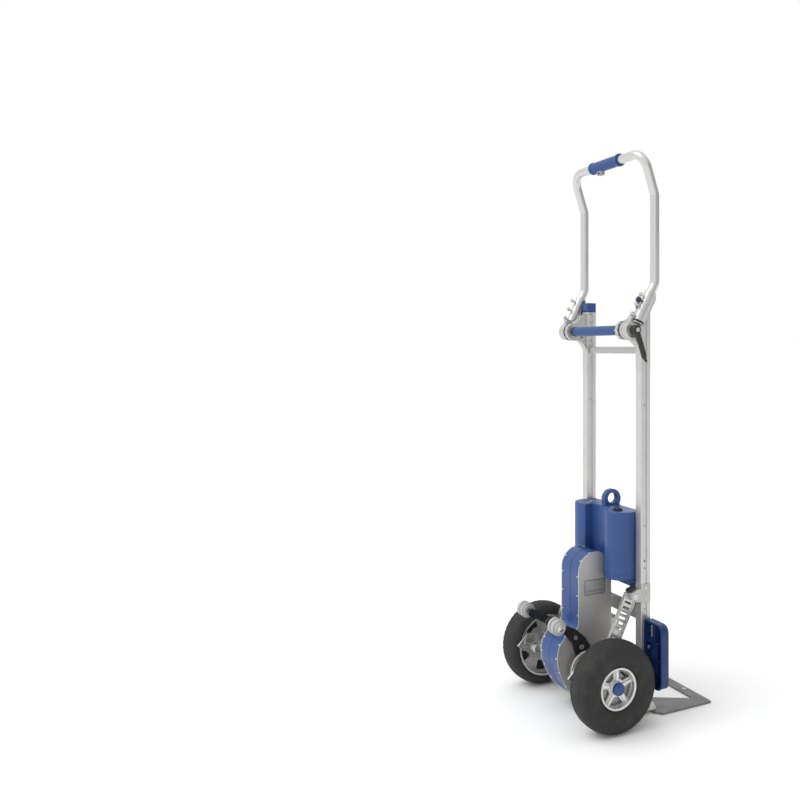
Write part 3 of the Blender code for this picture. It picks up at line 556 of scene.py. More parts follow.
def soften(obj, width, segments=2, angle=32.0):
    """Rounds the piece's hard edges by a few tenths of a millimetre, as real edges are."""
    if width:
        bevel = obj.modifiers.new("edges", "BEVEL")
        bevel.width = width * MM
        bevel.segments = segments
        bevel.limit_method = "ANGLE"
        bevel.angle_limit = math.radians(angle)
        bevel.use_clamp_overlap = True
        bevel.harden_normals = False
    weighted = obj.modifiers.new("shading", "WEIGHTED_NORMAL")
    weighted.keep_sharp = True
    return obj


def piece(name, bm, look, body, nodes=(), edge=0.0, angle=32.0, segments=2):
    """A visible piece from a mesh in millimetres. It rides on a CAD body and may stand for CAD nodes."""
    turn_out(bm)
    bmesh.ops.scale(bm, verts=bm.verts, vec=(MM, MM, MM))
    bmesh.ops.translate(bm, verts=bm.verts, vec=(0, AXLE_Y, 0))
    for face in bm.faces:
        face.smooth = True
    for e in bm.edges:
        e.smooth = len(e.link_faces) == 2 and e.calc_face_angle() < math.radians(angle)
    mesh = bpy.data.meshes.new(name)
    bm.to_mesh(mesh)
    bm.free()
    obj = bpy.data.objects.new(name, mesh)
    bpy.context.scene.collection.objects.link(obj)
    mesh.materials.append(LOOKS[look])
    soften(obj, edge, segments, angle)
    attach(obj, body)
    if nodes:
        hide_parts(*([nodes] if isinstance(nodes, str) else nodes))
    return obj


def carry_over(node, look, edge):
    """A CAD node that is shown as it is, with softened edges and its own material."""
    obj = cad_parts[node]
    obj.data.materials.clear()
    obj.data.materials.append(LOOKS[look])
    weld = obj.modifiers.new("weld", "WELD")
    weld.merge_threshold = 2e-6
    for face in obj.data.polygons:
        face.use_smooth = True
    soften(obj, edge)
    return obj


def turned_to(bm, way, place):
    """Turns a shape drawn along +Z to point another way and moves it to its place."""
    turn = Vector((0, 0, 1)).rotation_difference(Vector(way)).to_matrix().to_4x4()
    bmesh.ops.transform(bm, matrix=Matrix.Translation(Vector(place)) @ turn, verts=bm.verts)
    return bm


def screw(place, normal, radius, height, drive="hex", steps=20):
    """A screw head, with a hexagon socket unless drive says otherwise. normal is the way the head faces."""
    holes = [circle(0, 0, radius * 0.48, 6)] if drive == "hex" else ()
    bm = prism(circle(0, 0, radius, steps), "Z", 0.0, height, holes=holes)
    rim = [e for e in bm.edges
           if all(v.co.z > height / 2 and v.co.xy.length > radius * 0.8 for v in e.verts)]
    soft = min(0.35 * height, 0.22 * radius)
    bmesh.ops.bevel(bm, geom=rim, offset=soft, segments=2, profile=0.5, affect="EDGES")
    return turned_to(bm, normal, place)


def spline(points, steps=5):
    """Catmull-Rom curve through the points."""
    out = []
    pts = [Vector(p) for p in points]
    for i in range(len(pts) - 1):
        a, b = pts[max(i - 1, 0)], pts[i]
        c, d = pts[i + 1], pts[min(i + 2, len(pts) - 1)]
        square = 2 * a - 5 * b + 4 * c - d
        cube = 3 * b - a - 3 * c + d
        for k in range(steps):
            t = k / steps
            out.append(tuple(0.5 * (2 * b + (c - a) * t + square * t * t + cube * t ** 3)))
    out.append(tuple(pts[-1]))
    return out


# ---------------------------------------------------------------- load frame

rail_low, rail_high = mm_box("rail_left")
RAIL_IN, RAIL_OUT = rail_low.x, rail_high.x
RAIL_FRONT, RAIL_BACK = rail_low.y, rail_high.y
RAIL_MID = (RAIL_FRONT + RAIL_BACK) / 2
HOLE_LINE = RAIL_MID + 4.5


def hole_row(side, face, heights, radius):
    """Drill holes through one wall of a rail; face is that wall's distance from the middle plane."""
    return [pin(side, (HOLE_LINE, z), radius, face - 6.5, face + 6.5, 20) for z in heights]


def make_rail(side, label):
    """Box section with a groove in both flanks, in two lengths pinned end to end; near-black discs in four
    drilled holes are painted shadow.
    """
    a, b = RAIL_IN, RAIL_OUT
    below, above = rail_low.z - 1, rail_high.z + 1
    outline = rounded(rectangle(a, b, RAIL_FRONT, RAIL_BACK), 2.2, 4)
    hollow = rounded(rectangle(a + 5, b - 5, RAIL_FRONT + 4, RAIL_BACK - 4), 1.5, 2)
    body = prism(handed(side, outline), "Z", rail_low.z, rail_high.z, holes=[handed(side, hollow)])
    grooves = [prism(handed(side, rectangle(x0, x1, RAIL_MID - 3, RAIL_MID + 3)), "Z", below, above)
               for x0, x1 in ((a - 1, a + 2.2), (b - 2.2, b + 1))]
    drilled = hole_row(side, b - 2.5, (919, 561, 436, 315, 294), 2.4)
    drilled += hole_row(side, b - 2.5, (457,), 3.4)
    drilled += hole_row(side, a + 2.5, (1197, 1171, 1112, 920), 2.4)
    slots = [box(*span(side, b - 0.9, b + 1), RAIL_MID + 5, RAIL_MID + 14.5, z, z + 1.3)
             for z in range(1082, 1118, 7)]
    joint = box(*span(side, a - 1, b + 1), RAIL_FRONT - 1, RAIL_BACK + 1, 629.7, 630.3)
    core = rounded(rectangle(a + 0.4, b - 0.4, RAIL_FRONT + 0.4, RAIL_BACK - 0.4), 2.0, 2)
    joint = combine(joint, ("-", prism(handed(side, core), "Z", 629.0, 631.0)))
    bm = combine(body, *[("-", g) for g in grooves], ("-", joined(drilled + slots)), ("-", joint))
    piece(f"rail_{label}_skin", bm, "rail", "frame", f"rail_{label}")
    # Near-black discs sunk just inside four drilled holes: painted shadow in those holes.
    hole_shadows = [screw((side * (b - 1.2), HOLE_LINE, z), (side, 0, 0), 2.3, 1.0, "plain") for z in (436, 294)]
    hole_shadows += [screw((side * (a + 1.2), HOLE_LINE, z), (-side, 0, 0), 2.3, 1.0, "plain")
             for z in (1197, 1112)]
    piece(f"rail_{label}_pins", joined(hole_shadows), "hole", "frame")


def make_rail_cap(side, label):
    low, high = mm_box(f"rail_cap_{label}")
    lid = box(low.x, high.x, low.y, high.y, rail_high.z + 2.2, high.z)
    upright = [e for e in lid.edges if abs(e.verts[0].co.z - e.verts[1].co.z) > 1]
    bmesh.ops.bevel(lid, geom=upright, offset=5.0, segments=4, profile=0.5, affect="EDGES")
    neck = rectangle(low.x + 1.2, high.x - 1.2, low.y + 1.2, high.y - 1.2)
    collar = prism(neck, "Z", rail_high.z + 0.2, rail_high.z + 2.0)
    piece(f"rail_cap_{label}_lid", lid, "blue", "frame", f"rail_cap_{label}", 1.6)
    piece(f"rail_cap_{label}_collar", collar, "deep_blue", "frame", edge=0.3)


for side, label in SIDES:
    make_rail(side, label)
    make_rail_cap(side, label)

for bar in ("top", "middle", "lower", "bottom"):
    carry_over(f"crossbar_{bar}", "bar", 0.7)
rivets = []
for bar in ("middle", "lower"):
    low, high = mm_box(f"crossbar_{bar}")
    middle = (low.z + high.z) / 2
    for x in (low.x + 10, low.x + 24, high.x - 24, high.x - 10):
        rivets.append(screw((x, high.y - 0.1, middle), (0, 1, 0), 3.2, 1.6))
        rivets.append(screw((x, low.y + 0.1, middle), (0, -1, 0), 3.2, 1.6))
piece("crossbar_screws", joined(rivets), "screw", "frame")

# ---------------------------------------------------------------- toe plate

toe_low, toe_high = mm_box("toe_plate")
TOE_TOP = 6.0


def make_toe_plate():
    """Flat plate with a window, its corners cut off at the back and its front edge tapered."""
    half, front, back = toe_high.x, toe_low.y, toe_high.y
    corners = [(-half, front), (half, front), (half, back - 22), (half - 24, back), (-half + 24, back),
               (-half, back - 22)]
    outline = rounded(corners, [16, 16, 14, 10, 10, 14], 8)
    window = rounded([(-143, -342), (143, -342), (66, -214), (-66, -214)], [9, 9, 12, 12], 8)
    plate = prism(outline, "Z", 0.0, TOE_TOP, holes=[window])
    wedge = [(front - 2, TOE_TOP + 2), (front - 2, 2.2), (front + 9, TOE_TOP + 2)]
    plate = combine(plate, ("-", prism(wedge, "X", -half - 2, half + 2)))
    piece("toe_plate_sheet", plate, "toe", "frame", "toe_plate", 0.6)
    heads = [screw((x, -362, TOE_TOP - 0.2), (0, 0, 1), 5.6, 1.8) for x in (-74, 74)]
    heads += [screw((x, -186, TOE_TOP - 0.2), (0, 0, 1), 5.0, 1.8) for x in (-112, -40, 40, 112)]
    piece("toe_plate_bolts", joined(heads), "screw", "frame")


make_toe_plate()
for side, label in SIDES:
    carry_over(f"toe_block_{label}", "white", 1.4)

# ---------------------------------------------------------------- wheels

tyre_low, tyre_high = mm_box("tyre_left")
TYRE_R = (tyre_high.z - tyre_low.z) / 2
WHEEL_X = 207.5
TREAD_STEPS = 192
GROOVE_IN, GROOVE_OUT = 9.5, 21.5
SPOKE_ANGLES = [90 + 72 * k for k in range(5)]


def tyre_outline():
    """Outboard bead, sidewall, crown, inboard shoulder; then back along the drum's seat."""
    curve = spline([(61.0, 24.5), (66.5, 33), (80, 40), (97, 42), (112, 39.5), (123.5, 31.5), (128.6, 18),
                    (TYRE_R, 0), (128.6, -18), (123.5, -31), (112, -39), (104, -41)], 7)
    out = []
    for r, h in curve:
        ridge = sum(0.8 * math.exp(-((r - centre) / 1.2) ** 2) for centre in (72.0, 115.5))
        on_wall = abs(h) > 20 and abs(h) + ridge < 42.4
        out.append((r, h + math.copysign(ridge, h) if on_wall else h))
    return out + [(99.2, -38), (98.8, -37), (98.8, -6.2), (61.0, -3.2)]


def cut_tread(bm, centre_x, side):
    """Round grooves, sipes across the shoulders and short notches in the middle, pressed into the crown."""
    for v in bm.verts:
        h = side * (v.co.x - centre_x)
        radial = Vector((0.0, v.co.y, v.co.z - AXLE_Z))
        r = radial.length
        if r < 117 or abs(h) > 34:
            continue
        column = round(math.atan2(radial.z, radial.y) / (2 * math.pi) * TREAD_STEPS)
        groove = 1.7 * max(math.exp(-((abs(h) - centre) / 1.7) ** 4) for centre in (GROOVE_IN, GROOVE_OUT))
        shoulder = min(1.0, max(0.0, (abs(h) - GROOVE_OUT) / 2.0))
        sipe = 1.5 * shoulder if column % 4 == 0 else 0.0
        notch = 0.9 if abs(h) < 9.0 and column % 8 == 2 else 0.0
        v.co -= radial / r * max(groove, sipe, notch)


def make_tyre(side, label):
    """A tyre turned from its outline, with the tread pressed in."""
    bm = turned(side, tyre_outline(), (side * WHEEL_X, 0, AXLE_Z), TREAD_STEPS)
    cut_tread(bm, side * WHEEL_X, side)
    piece(f"tyre_{label}_tread", bm, "tyre", f"wheel_{label}", f"tyre_{label}", angle=40)


def sector(mid, half_out, half_in, r_in, r_out, steps=8):
    """A wedge between two radii, its sides at their own half angles."""
    outer = arc(0, AXLE_Z, r_out, mid - half_out, mid + half_out, steps)
    return outer + arc(0, AXLE_Z, r_in, mid + half_in, mid - half_in, steps // 2)


def around(angle, radius):
    """The (Y, Z) place at an angle round the axle, in degrees."""
    t = math.radians(angle)
    return radius * math.cos(t), AXLE_Z + radius * math.sin(t)


def make_rim(side, label):
    """Cast rim: a spoked face, a plain web behind it in a darker tone that paints shade between the spokes,
    the drum inboard, nuts, a valve and the hub cap.
    """
    x = side * WHEEL_X
    centre = (x, 0, AXLE_Z)
    body = f"wheel_{label}"

    def across(h0, h1):
        return sorted((x + side * h0, x + side * h1))

    ring = turned(side, [(51.6, 8), (51.8, 21), (53.2, 28.5), (55.0, 30), (59.0, 30), (60.4, 28.4),
                         (60.4, 24.6), (58.4, 21), (58.4, -2.0), (54.0, -2.0)], centre, 96)
    windows = [sector(angle + 36, 26.5, 15.5, 25.5, 50.8) for angle in SPOKE_ANGLES]
    spokes = prism(circle(0, AXLE_Z, 53.5, 80), "X", *across(9, 16), holes=windows)
    ribs = []
    for t in map(math.radians, SPOKE_ANGLES):
        outline = [(r * math.cos(t) - w * math.sin(t), AXLE_Z + r * math.sin(t) + w * math.cos(t))
                   for r, w in ((18, -3.4), (52.5, -2.2), (52.5, 2.2), (18, 3.4))]
        ribs.append(prism(outline, "X", *across(12, 21)))
    hub = turned(side, [(10.7, -46), (19.5, -46), (20.5, -45), (20.5, 22.6), (19.2, 24), (10.7, 24)], centre)
    face = combine(ring, ("+", spokes), ("+", hub), *[("+", r) for r in ribs])
    piece(f"rim_{label}_face", face, "wheel", body, f"rim_{label}", 0.5)
    # The web takes the darker copy of the wheel casting: painted shade between the spokes.
    web = turned(side, [(21.0, 3.0), (51.4, 3.0), (51.4, 5.0), (36, 6.6), (21.0, 5.0)], centre, 80)
    piece(f"rim_{label}_web", web, "shaded_wheel_web", body)
    drum = turned(side, [(98.2, -36.4), (98.2, -6.8), (21.0, -2.2), (21.0, -9.5), (92.0, -12.2),
                         (94.0, -14.5), (94.0, -34.5), (91.5, -36.4), (91.5, -38.0), (97.2, -38.0)],
                  centre, 96)
    cuts = [prism(sector(angle + 36, 17.0, 19.0, 58.0, 86.0), "X", *across(-30, 0))
            for angle in SPOKE_ANGLES]
    piece(f"rim_{label}_drum", combine(drum, ("-", joined(cuts))), "wheel", body, edge=0.6)
    nuts = [screw((x - side * 9.6, *around(angle, 30)), (-side, 0, 0), 5.0, 4.0, steps=6)
            for angle in SPOKE_ANGLES]
    piece(f"rim_{label}_nuts", joined(nuts), "screw", body)
    root = Vector((x + side * 6, *around(126, 44)))
    tip = Vector((x + side * 27, *around(126, 39)))
    valve = tube([root, root.lerp(tip, 0.7), root.lerp(tip, 0.72), tip], 3.0, 20)
    piece(f"valve_{label}", valve, "black_plastic", body, edge=0.5)
    cap = turned(side, [(0, 36), (9, 35.8), (14, 35.0), (17, 33.2), (18, 30.5), (18, 24.4), (0, 24.4)],
                 centre)
    groove = turned(side, [(10.2, 34.9), (11.2, 34.9), (11.2, 37), (10.2, 37)], centre)
    dome = combine(cap, ("-", groove))
    piece(f"hub_cap_{label}_dome", dome, "blue", body, f"hub_cap_{label}")


for side, label in SIDES:
    make_tyre(side, label)
    make_rim(side, label)
carry_over("axle", "steel", 0.5)

# ---------------------------------------------------------------- struts, side brackets, rollers, guards
GUIDE_ROLLER, GUIDE_ROLLER_X = (-104, 24), 139
STRUT_TOP = Vector((-108.0, 355.0))
STRUT_LINE = Vector((0.0, AXLE_Z)) - STRUT_TOP
STRUT_ALONG = STRUT_LINE.normalized()
STRUT_ACROSS = Vector((-STRUT_ALONG.y, STRUT_ALONG.x))


def on_strut(s, t):
    """The (Y, Z) place s down the strut from its top and t across it."""
    return tuple(STRUT_TOP + STRUT_ALONG * s + STRUT_ACROSS * t)


def make_strut(side, label):
    """A pressed ladder: thin web with windows, a flange down each edge, a rung between the windows."""
    long = STRUT_LINE.length
    edge = [(-16, 13), (-2, 21), (14, 21.4), (long - 40, 19), (long - 4, 20)]
    outline = [on_strut(s, t) for s, t in edge] + [on_strut(s, -t) for s, t in reversed(edge)]
    windows, rungs, flanges = [], [], []
    for k in range(12):
        s, w = 20 + k * 15.5, 13.2 - 0.2 * k
        window = ((s, -w), (s, w), (s + 7, w), (s + 7, -w))
        windows.append(rounded([on_strut(*p) for p in window], 2.4, 3))
        rung = ((s + 9.2, -w - 3), (s + 9.2, w + 3), (s + 13.2, w + 3), (s + 13.2, -w - 3))
        rungs.append(slab(side, [on_strut(*p) for p in rung], 134.6, 145.4))
    web = slab(side, rounded(outline, [6, 5, 5, 5, 2, 2, 5, 5, 5, 6], 4), 138.4, 141.6, windows)
    for sign in (1, -1):
        strip = [on_strut(s, sign * (t + 0.3)) for s, t in edge[1:]]
        back = [on_strut(s, sign * (t - 3.0)) for s, t in reversed(edge[1:])]
        flanges.append(slab(side, strip + back, 134.2, 145.8))
    low = pin(side, (0, AXLE_Z), 20.5, 133.8, 146.2, 48)
    top = pin(side, STRUT_TOP, 13.0, 133.6, 146.4, 40)
    bore = pin(side, (0, AXLE_Z), 10.4, 120, 160, 40)
    bm = combine(web, *[("+", part) for part in [*flanges, *rungs, low, top]], ("-", bore))
    piece(f"strut_{label}_ladder", bm, "zinc", "frame", f"strut_{label}", 0.5)


def make_strut_bracket(side, label):
    """The casting on the rail that the strut hangs from, its bolts, and a black block just above the strut's
    top end.
    """
    face, back = RAIL_OUT, RAIL_BACK + 0.3
    plate = slab(side, rounded([(-163, 334), (-129, 334), (-129, 388), (-163, 388)], 4, 5),
                 face + 0.3, face + 2.2)
    lug = slab(side, [(back, 338), (-118, 338), (-97, 346), (-97, 366), (-118, 376), (back, 376)],
               RAIL_IN + 14, face + 2)
    stud = pin(side, STRUT_TOP, 6.0, 130.4, face + 2.6, 28)
    bm = combine(plate, ("+", lug), ("+", stud))
    piece(f"strut_bracket_{label}_casting", bm, "bar", "frame", f"strut_bracket_{label}", 0.9)
    seat = side * (face + 2.1)
    bolts = [screw((seat, -146, z), (side, 0, 0), 3.8, 2.0) for z in (344, 378)]
    bolts.append(screw((seat, *STRUT_TOP), (side, 0, 0), 7.0, 2.6))
    piece(f"strut_bracket_{label}_bolts", joined(bolts), "screw", "frame")
    # A black block just above the strut's top end.
    black_block = rounded([(-118, 377), (-93, 367.5), (-91, 371.5), (-111, 382), (-118, 382)], 2, 4)
    piece(f"strut_{label}_clip", slab(side, black_block, 136.0, 155.0), "black_plastic", "frame", edge=1.0)


def make_guide_roller(side, label):
    """A grooved roller low at the back, dished round its shaft."""
    profile = [(5.4, -8), (17.5, -8), (19.4, -6.6), (19.9, -4), (18.7, -3), (18.7, -1.6), (19.9, -0.8),
               (19.9, 0.8), (18.7, 1.6), (18.7, 3), (19.9, 4), (19.4, 6.6), (17.5, 8), (12.5, 8),
               (11.5, 6.6), (7.5, 6.6), (5.4, 7.4)]
    bm = turned(side, profile, (side * GUIDE_ROLLER_X, *GUIDE_ROLLER))
    piece(f"guide_roller_{label}_tread", bm, "roller", f"guide_roller_{label[0]}", f"guide_roller_{label}")


def make_guard(side, label):
    """An open tray beside the rail that keeps loads and clothes off the wheel."""
    low, high, back = RAIL_OUT + 1.0, 246.0, -140.0
    foot, top, wall = 98.0, 286.0, 3.6

    def plate(x0, x1, z0, z1, radii, y0, y1):
        return prism(handed(side, rounded(rectangle(x0, x1, z0, z1), radii, 9)), "Y", y0, y1)

    def bar(x0, x1, y0, y1, z0, z1):
        return box(*span(side, x0, x1), y0, y1, z0, z1)

    shell = plate(low, high, foot, top, [8, 26, 26, 10], -167.0, back)
    cavity = plate(low + wall, high - wall, foot + wall, top - wall, [6, 23, 23, 7], -163.4, back + 4)
    lip = plate(low, high + 1.6, foot - 1.6, top + 1.6, [8, 27, 27, 11], back - 4.2, back)
    ledge = bar(low + 2, low + 40, -164.0, -151.0, 228.0, 283.0)
    pocket = bar(low + 8, low + 34, -158.5, -150.0, 234.0, 275.0)
    inside = [bar(low + 2, low + 58, -164.0, -147.0, 222.5, 226.0)]
    inside += [bar(low + 2, high - 2, -164.0, -155.0, z - 1.1, z + 1.1) for z in (136.0, 172.0)]
    inside.append(bar(low + 44, low + 46.2, -164.0, -155.0, foot + 2, top - 2))
    inside.append(rod("Y", (side * (low + 26), 0, 196), 22.0, -165.0, -156.0, 48))
    inside += [rod("Y", (side * (low + 13), 0, z), 7.5, -164.0, -148.5) for z in (206, 120)]
    bm = combine(shell, ("+", lip), ("-", cavity), ("+", ledge), ("-", pocket),
                 *[("+", part) for part in inside])
    piece(f"wheel_guard_{label}_tray", bm, "deep_blue", "frame", f"wheel_guard_{label}", 0.9)
    bolts = [screw((side * (low + 13), -148.6, z), (0, 1, 0), 5.4, 2.4) for z in (206, 120)]
    bolts += [screw((side * (low + x), -166.9, z), (0, -1, 0), 5.0, 1.6)
              for x, z in ((14, 120), (14, 255), (62, 190))]
    piece(f"wheel_guard_{label}_bolts", joined(bolts), "screw", "frame")
    strip = bar(low + 18.0, low + 21.5, -158.4, -152.5, 237.0, 272.0)
    piece(f"wheel_guard_{label}_strap", strip, "bar", "frame", edge=0.7)


for side, label in SIDES:
    make_strut(side, label)
    make_strut_bracket(side, label)
    carry_over(f"side_bracket_{label}", "zinc", 0.8)
    make_guide_roller(side, label)
    make_guard(side, label)

# ---------------------------------------------------------------- drive unit
DRIVE_HALF = mm_box("drive_side_left")[1].x
ARCH, ARCH_R = (-42.0, 413.0), 58.5
DRIVE_FRONT = ARCH[0] - ARCH_R
LOWER_LOBE = [
    (16.5, 264), (18, 256), (23, 249), (32, 244), (45, 239), (58, 231), (70, 221), (80, 208), (87, 190),
    (90, 168), (88, 148), (81, 125), (70, 101), (58, 80), (45, 62), (32, 50), (16, 42), (0, 39),
]
DRIVE_OUTLINE = [*arc(*ARCH, ARCH_R, 180, 0, 44), (16.5, 300), *spline(LOWER_LOBE, 4), (-70, 39),
                 (DRIVE_FRONT, 66)]
LABEL = rounded(rectangle(-82, -3, 342, 390), 7, 5)[::-1]


def make_drive_side(side, label):
    """A flat side plate with a bright metal strip along its edge. The label's recess is in the right one."""
    face = DRIVE_HALF
    plate = slab(side, shrink(DRIVE_OUTLINE, 0.4), face - 3.0, face, [circle(0, AXLE_Z, 17, 40)])
    recess = [("-", slab(side, LABEL, face - 1.2, face + 1))] if side < 0 else []
    piece(f"drive_side_{label}_plate", combine(plate, *recess), "side", "frame", f"drive_side_{label}",
          0.8)
    # A bright metal strip standing just proud of the plate's edge.
    bright_strip = slab(side, shrink(DRIVE_OUTLINE, -0.5), face - 1.9, face - 0.5, [shrink(DRIVE_OUTLINE, 2.0)])
    piece(f"drive_side_{label}_trim", bright_strip, "wheel", "frame", edge=0.3)


def make_label():
    """A plain identification plate: a border and rules, and no lettering."""
    seat = -DRIVE_HALF + 1.15
    piece("drive_label_foil", prism(shrink(LABEL, 1.2), "X", seat - 0.45, seat), "label", "frame")
    rim = prism(shrink(LABEL, 2.6), "X", seat - 0.6, seat - 0.2, holes=[shrink(LABEL, 4.0)])
    rules = [box(seat - 0.6, seat - 0.2, -77, -8, z, z + 0.9) for z in (352.5, 355.5)]
    piece("drive_label_border", joined([rim, *rules]), "label_line", "frame")


def nearest_on(line, spot):
    """The point of an open outline nearest to a spot, and the outline's outward normal there."""
    found = []
    for a, b in zip(line, line[1:]):
        start = Vector(a)
        way = Vector(b) - start
        reach = min(1.0, max(0.0, (spot - start).dot(way) / way.length_squared))
        point = start + way * reach
        found.append(((point - spot).length, tuple(point), tuple(Vector((-way.y, way.x)).normalized())))
    return min(found)[1:]


def make_band():
    """The blue cover that runs round the side plates, its two rows of screws and its middle seam."""
    half = DRIVE_HALF - 3.3
    strip = len(DRIVE_OUTLINE) - 2

    def ribbon(outer, inner, width):
        return prism(shrink(DRIVE_OUTLINE, outer)[:strip] + shrink(DRIVE_OUTLINE, inner)[:strip][::-1],
                     "X", -width, width)

    piece("drive_band", ribbon(1.0, 4.0, half), "blue", "frame", "drive_cover_band", 0.6)
    seats = [(16, 401), (17, 344), (6, 448), (-26, 470), (17, 286), (31, 244), (58, 231), (80, 208),
             (90, 168), (81, 125), (58, 80), (32, 50), (-62, 468), (-88, 449)]
    skin = shrink(DRIVE_OUTLINE, 1.0)[:strip]
    heads = []
    for seat in seats:
        foot, normal = nearest_on(skin, Vector(seat))
        for x in (-half + 4.6, half - 4.6):
            heads.append(screw((x, *foot), (0, *normal), 2.9, 1.7))
    piece("drive_band_screws", joined(heads), "screw", "frame")
    piece("drive_band_seam", ribbon(0.55, 1.2, 0.7), "deep_blue", "frame")


def make_nose():
    """The front casting and its white cover, with screws and cross ribs."""
    carry_over("drive_nose", "cast", 1.2)
    carry_over("drive_nose_cover", "white", 0.8)
    heads = [screw((x, -143.8, z), (0, -1, 0), 3.4, 1.6)
             for x in (-34.0, 34.0) for z in (84.0, 154.0, 224.0)]
    piece("drive_nose_screws", joined(heads), "screw", "frame")
    ribs = [box(-24, 24, -142.6, -141.3, z - 1.5, z + 1.5) for z in range(76, 250, 22)]
    piece("drive_nose_ribs", joined(ribs), "white", "frame", edge=0.5)


def make_motor():
    """A finned motor can standing on the gearbox, both inside the housing."""
    carry_over("reduction_gearbox", "cast", 1.4)
    centre = (0, ARCH[0], 0)
    fin = ((36.4, 0), (38.6, 0), (39.2, 0.8), (39.2, 2.8), (38.6, 3.6), (36.4, 3.6))
    fins = [lathe([(r, z + rise) for r, rise in fin], "Z", centre, 72) for z in range(316, 420, 9)]
    can = lathe([(0, 440), (33, 440), (37, 436), (37.2, 430), (37.2, 310), (34, 306), (20, 306),
                 (20, 300.6), (0, 300.6)], "Z", centre, 72)
    piece("motor_can", joined([can, *fins]), "black", "frame", "drive_motor", 0.4)


GEAR_TEETH = 26
TOOTH = ((0.0, 62.4), (0.22, 62.4), (0.32, 63.6), (0.43, 67.4), (0.50, 68.0), (0.70, 68.0), (0.77, 67.4),
         (0.89, 63.6))


def make_gear():
    """The toothed crank wheel and the sleeve that carries it round the axle."""
    outline = [around(360 * (k + part) / GEAR_TEETH, radius)
               for k in range(GEAR_TEETH) for part, radius in TOOTH]
    holes = [circle(0, AXLE_Z, 13.0, 40), *[circle(*around(60 * k, 38), 10) for k in range(6)]]
    gear = prism(outline, "X", -10, 10, holes=holes)
    sleeve = lathe([(10.6, -66), (15.4, -66), (16, -65.4), (16, 65.4), (15.4, 66), (10.6, 66)], "X",
                   (0, 0, AXLE_Z), 56)
    piece("crank_gear_wheel", combine(gear, ("+", sleeve)), "steel", "climb_crank", "crank_gear",
          0.5)


def make_lever(side, label):
    """The cast lifting lever and its rubber foot, with a washer on the hub and a ring of bolts."""
    carry_over(f"climb_lever_{label}", "cast", 1.2)
    washer = turned(side, [(11.2, 0), (23.5, 0), (24.4, 0.9), (24.4, 1.6), (11.2, 1.6)],
                    (side * 127.0, 0, AXLE_Z), 56)
    piece(f"climb_lever_{label}_washer", washer, "screw", "climb_crank")
    bolts = [screw((side * 74.9, *around(60 * k + 12, 44)), (side, 0, 0), 5.2, 4.2) for k in range(6)]
    piece(f"climb_lever_{label}_bolts", joined(bolts), "screw", "climb_crank")
    carry_over(f"climb_foot_{label}", "foot", 1.8)


EDGE_ROLLER, EDGE_ROLLER_X = (118, 283), 94.5
ARM_CORNERS = [(111, 296), (88, 282), (63, 266), (28, 249), (-4, 221), (-23, 190), (-24, 162), (24, 158),
               (33, 185), (42, 211), (68, 240), (95, 257)]


def make_edge_arm(side, label):
    """The black arm that holds a step-edge roller, with a rib, two bosses and the roller's stub shaft."""
    face = DRIVE_HALF
    plate = slab(side, rounded(ARM_CORNERS, 7, 6) + arc(*EDGE_ROLLER, 13.5, -55, 95, 20),
                 face + 0.3, face + 6.0)
    rib = [(96, 283), (72, 264), (34, 240), (6, 214), (12, 208), (38, 231), (76, 257), (100, 275)]
    added = [slab(side, rounded(rib, 2.5, 4), face + 5, face + 8.4),
             pin(side, EDGE_ROLLER, 6.0, face + 3, 118.8),
             pin(side, (32, 226), 9.0, face + 5, face + 7.6, 36),
             pin(side, (11, 196), 10.5, face + 5, face + 7.6, 36)]
    bm = combine(plate, *[("+", part) for part in added])
    piece(f"edge_arm_{label}_plate", bm, "black", "frame", f"edge_arm_{label}", 0.7)
    bolts = [screw((side * (face + 7.5), y, z), (side, 0, 0), r, 3.0)
             for y, z, r in ((32, 226, 6.0), (11, 196, 7.6), (-2, 172, 4.0))]
    piece(f"edge_arm_{label}_bolts", joined(bolts), "screw", "frame")


def make_edge_roller(side, label):
    """A grooved roller with a domed nut on its outer end."""
    body = f"edge_roller_{label[0]}"
    centre = (side * EDGE_ROLLER_X, *EDGE_ROLLER)
    profile = [(6.5, -22), (16, -22), (17.2, -20.8), (17.2, -16.6), (21.8, -16), (23, -14.6), (23, -7),
               (21.8, -5.4), (18.4, -5.0), (18.4, 1.2), (21.8, 1.6), (23, 3.2), (23, 13.6), (21.6, 15),
               (16.6, 15.4), (16.2, 21.4), (14.8, 22.8), (6.5, 22.8)]
    tread = turned(side, profile, centre, 72)
    piece(f"edge_roller_{label}_tread", tread, "roller", body, f"edge_roller_{label}", 0.4)
    dome = turned(side, [(0, 27.5), (4.5, 27.0), (8.5, 25.4), (10.8, 23.2), (6.8, 22.9), (0, 22.9)],
                  centre, 56)
    piece(f"edge_roller_{label}_dome", dome, "steel", body)


for side, label in SIDES:
    make_drive_side(side, label)
    make_lever(side, label)
    make_edge_arm(side, label)
    make_edge_roller(side, label)
make_label()
make_band()
make_nose()
make_motor()
make_gear()

# ---------------------------------------------------------------- battery
battery_low, battery_high = mm_box("battery_case")
LOBE, LOBE_R = (84.0, -112.0), 50.0


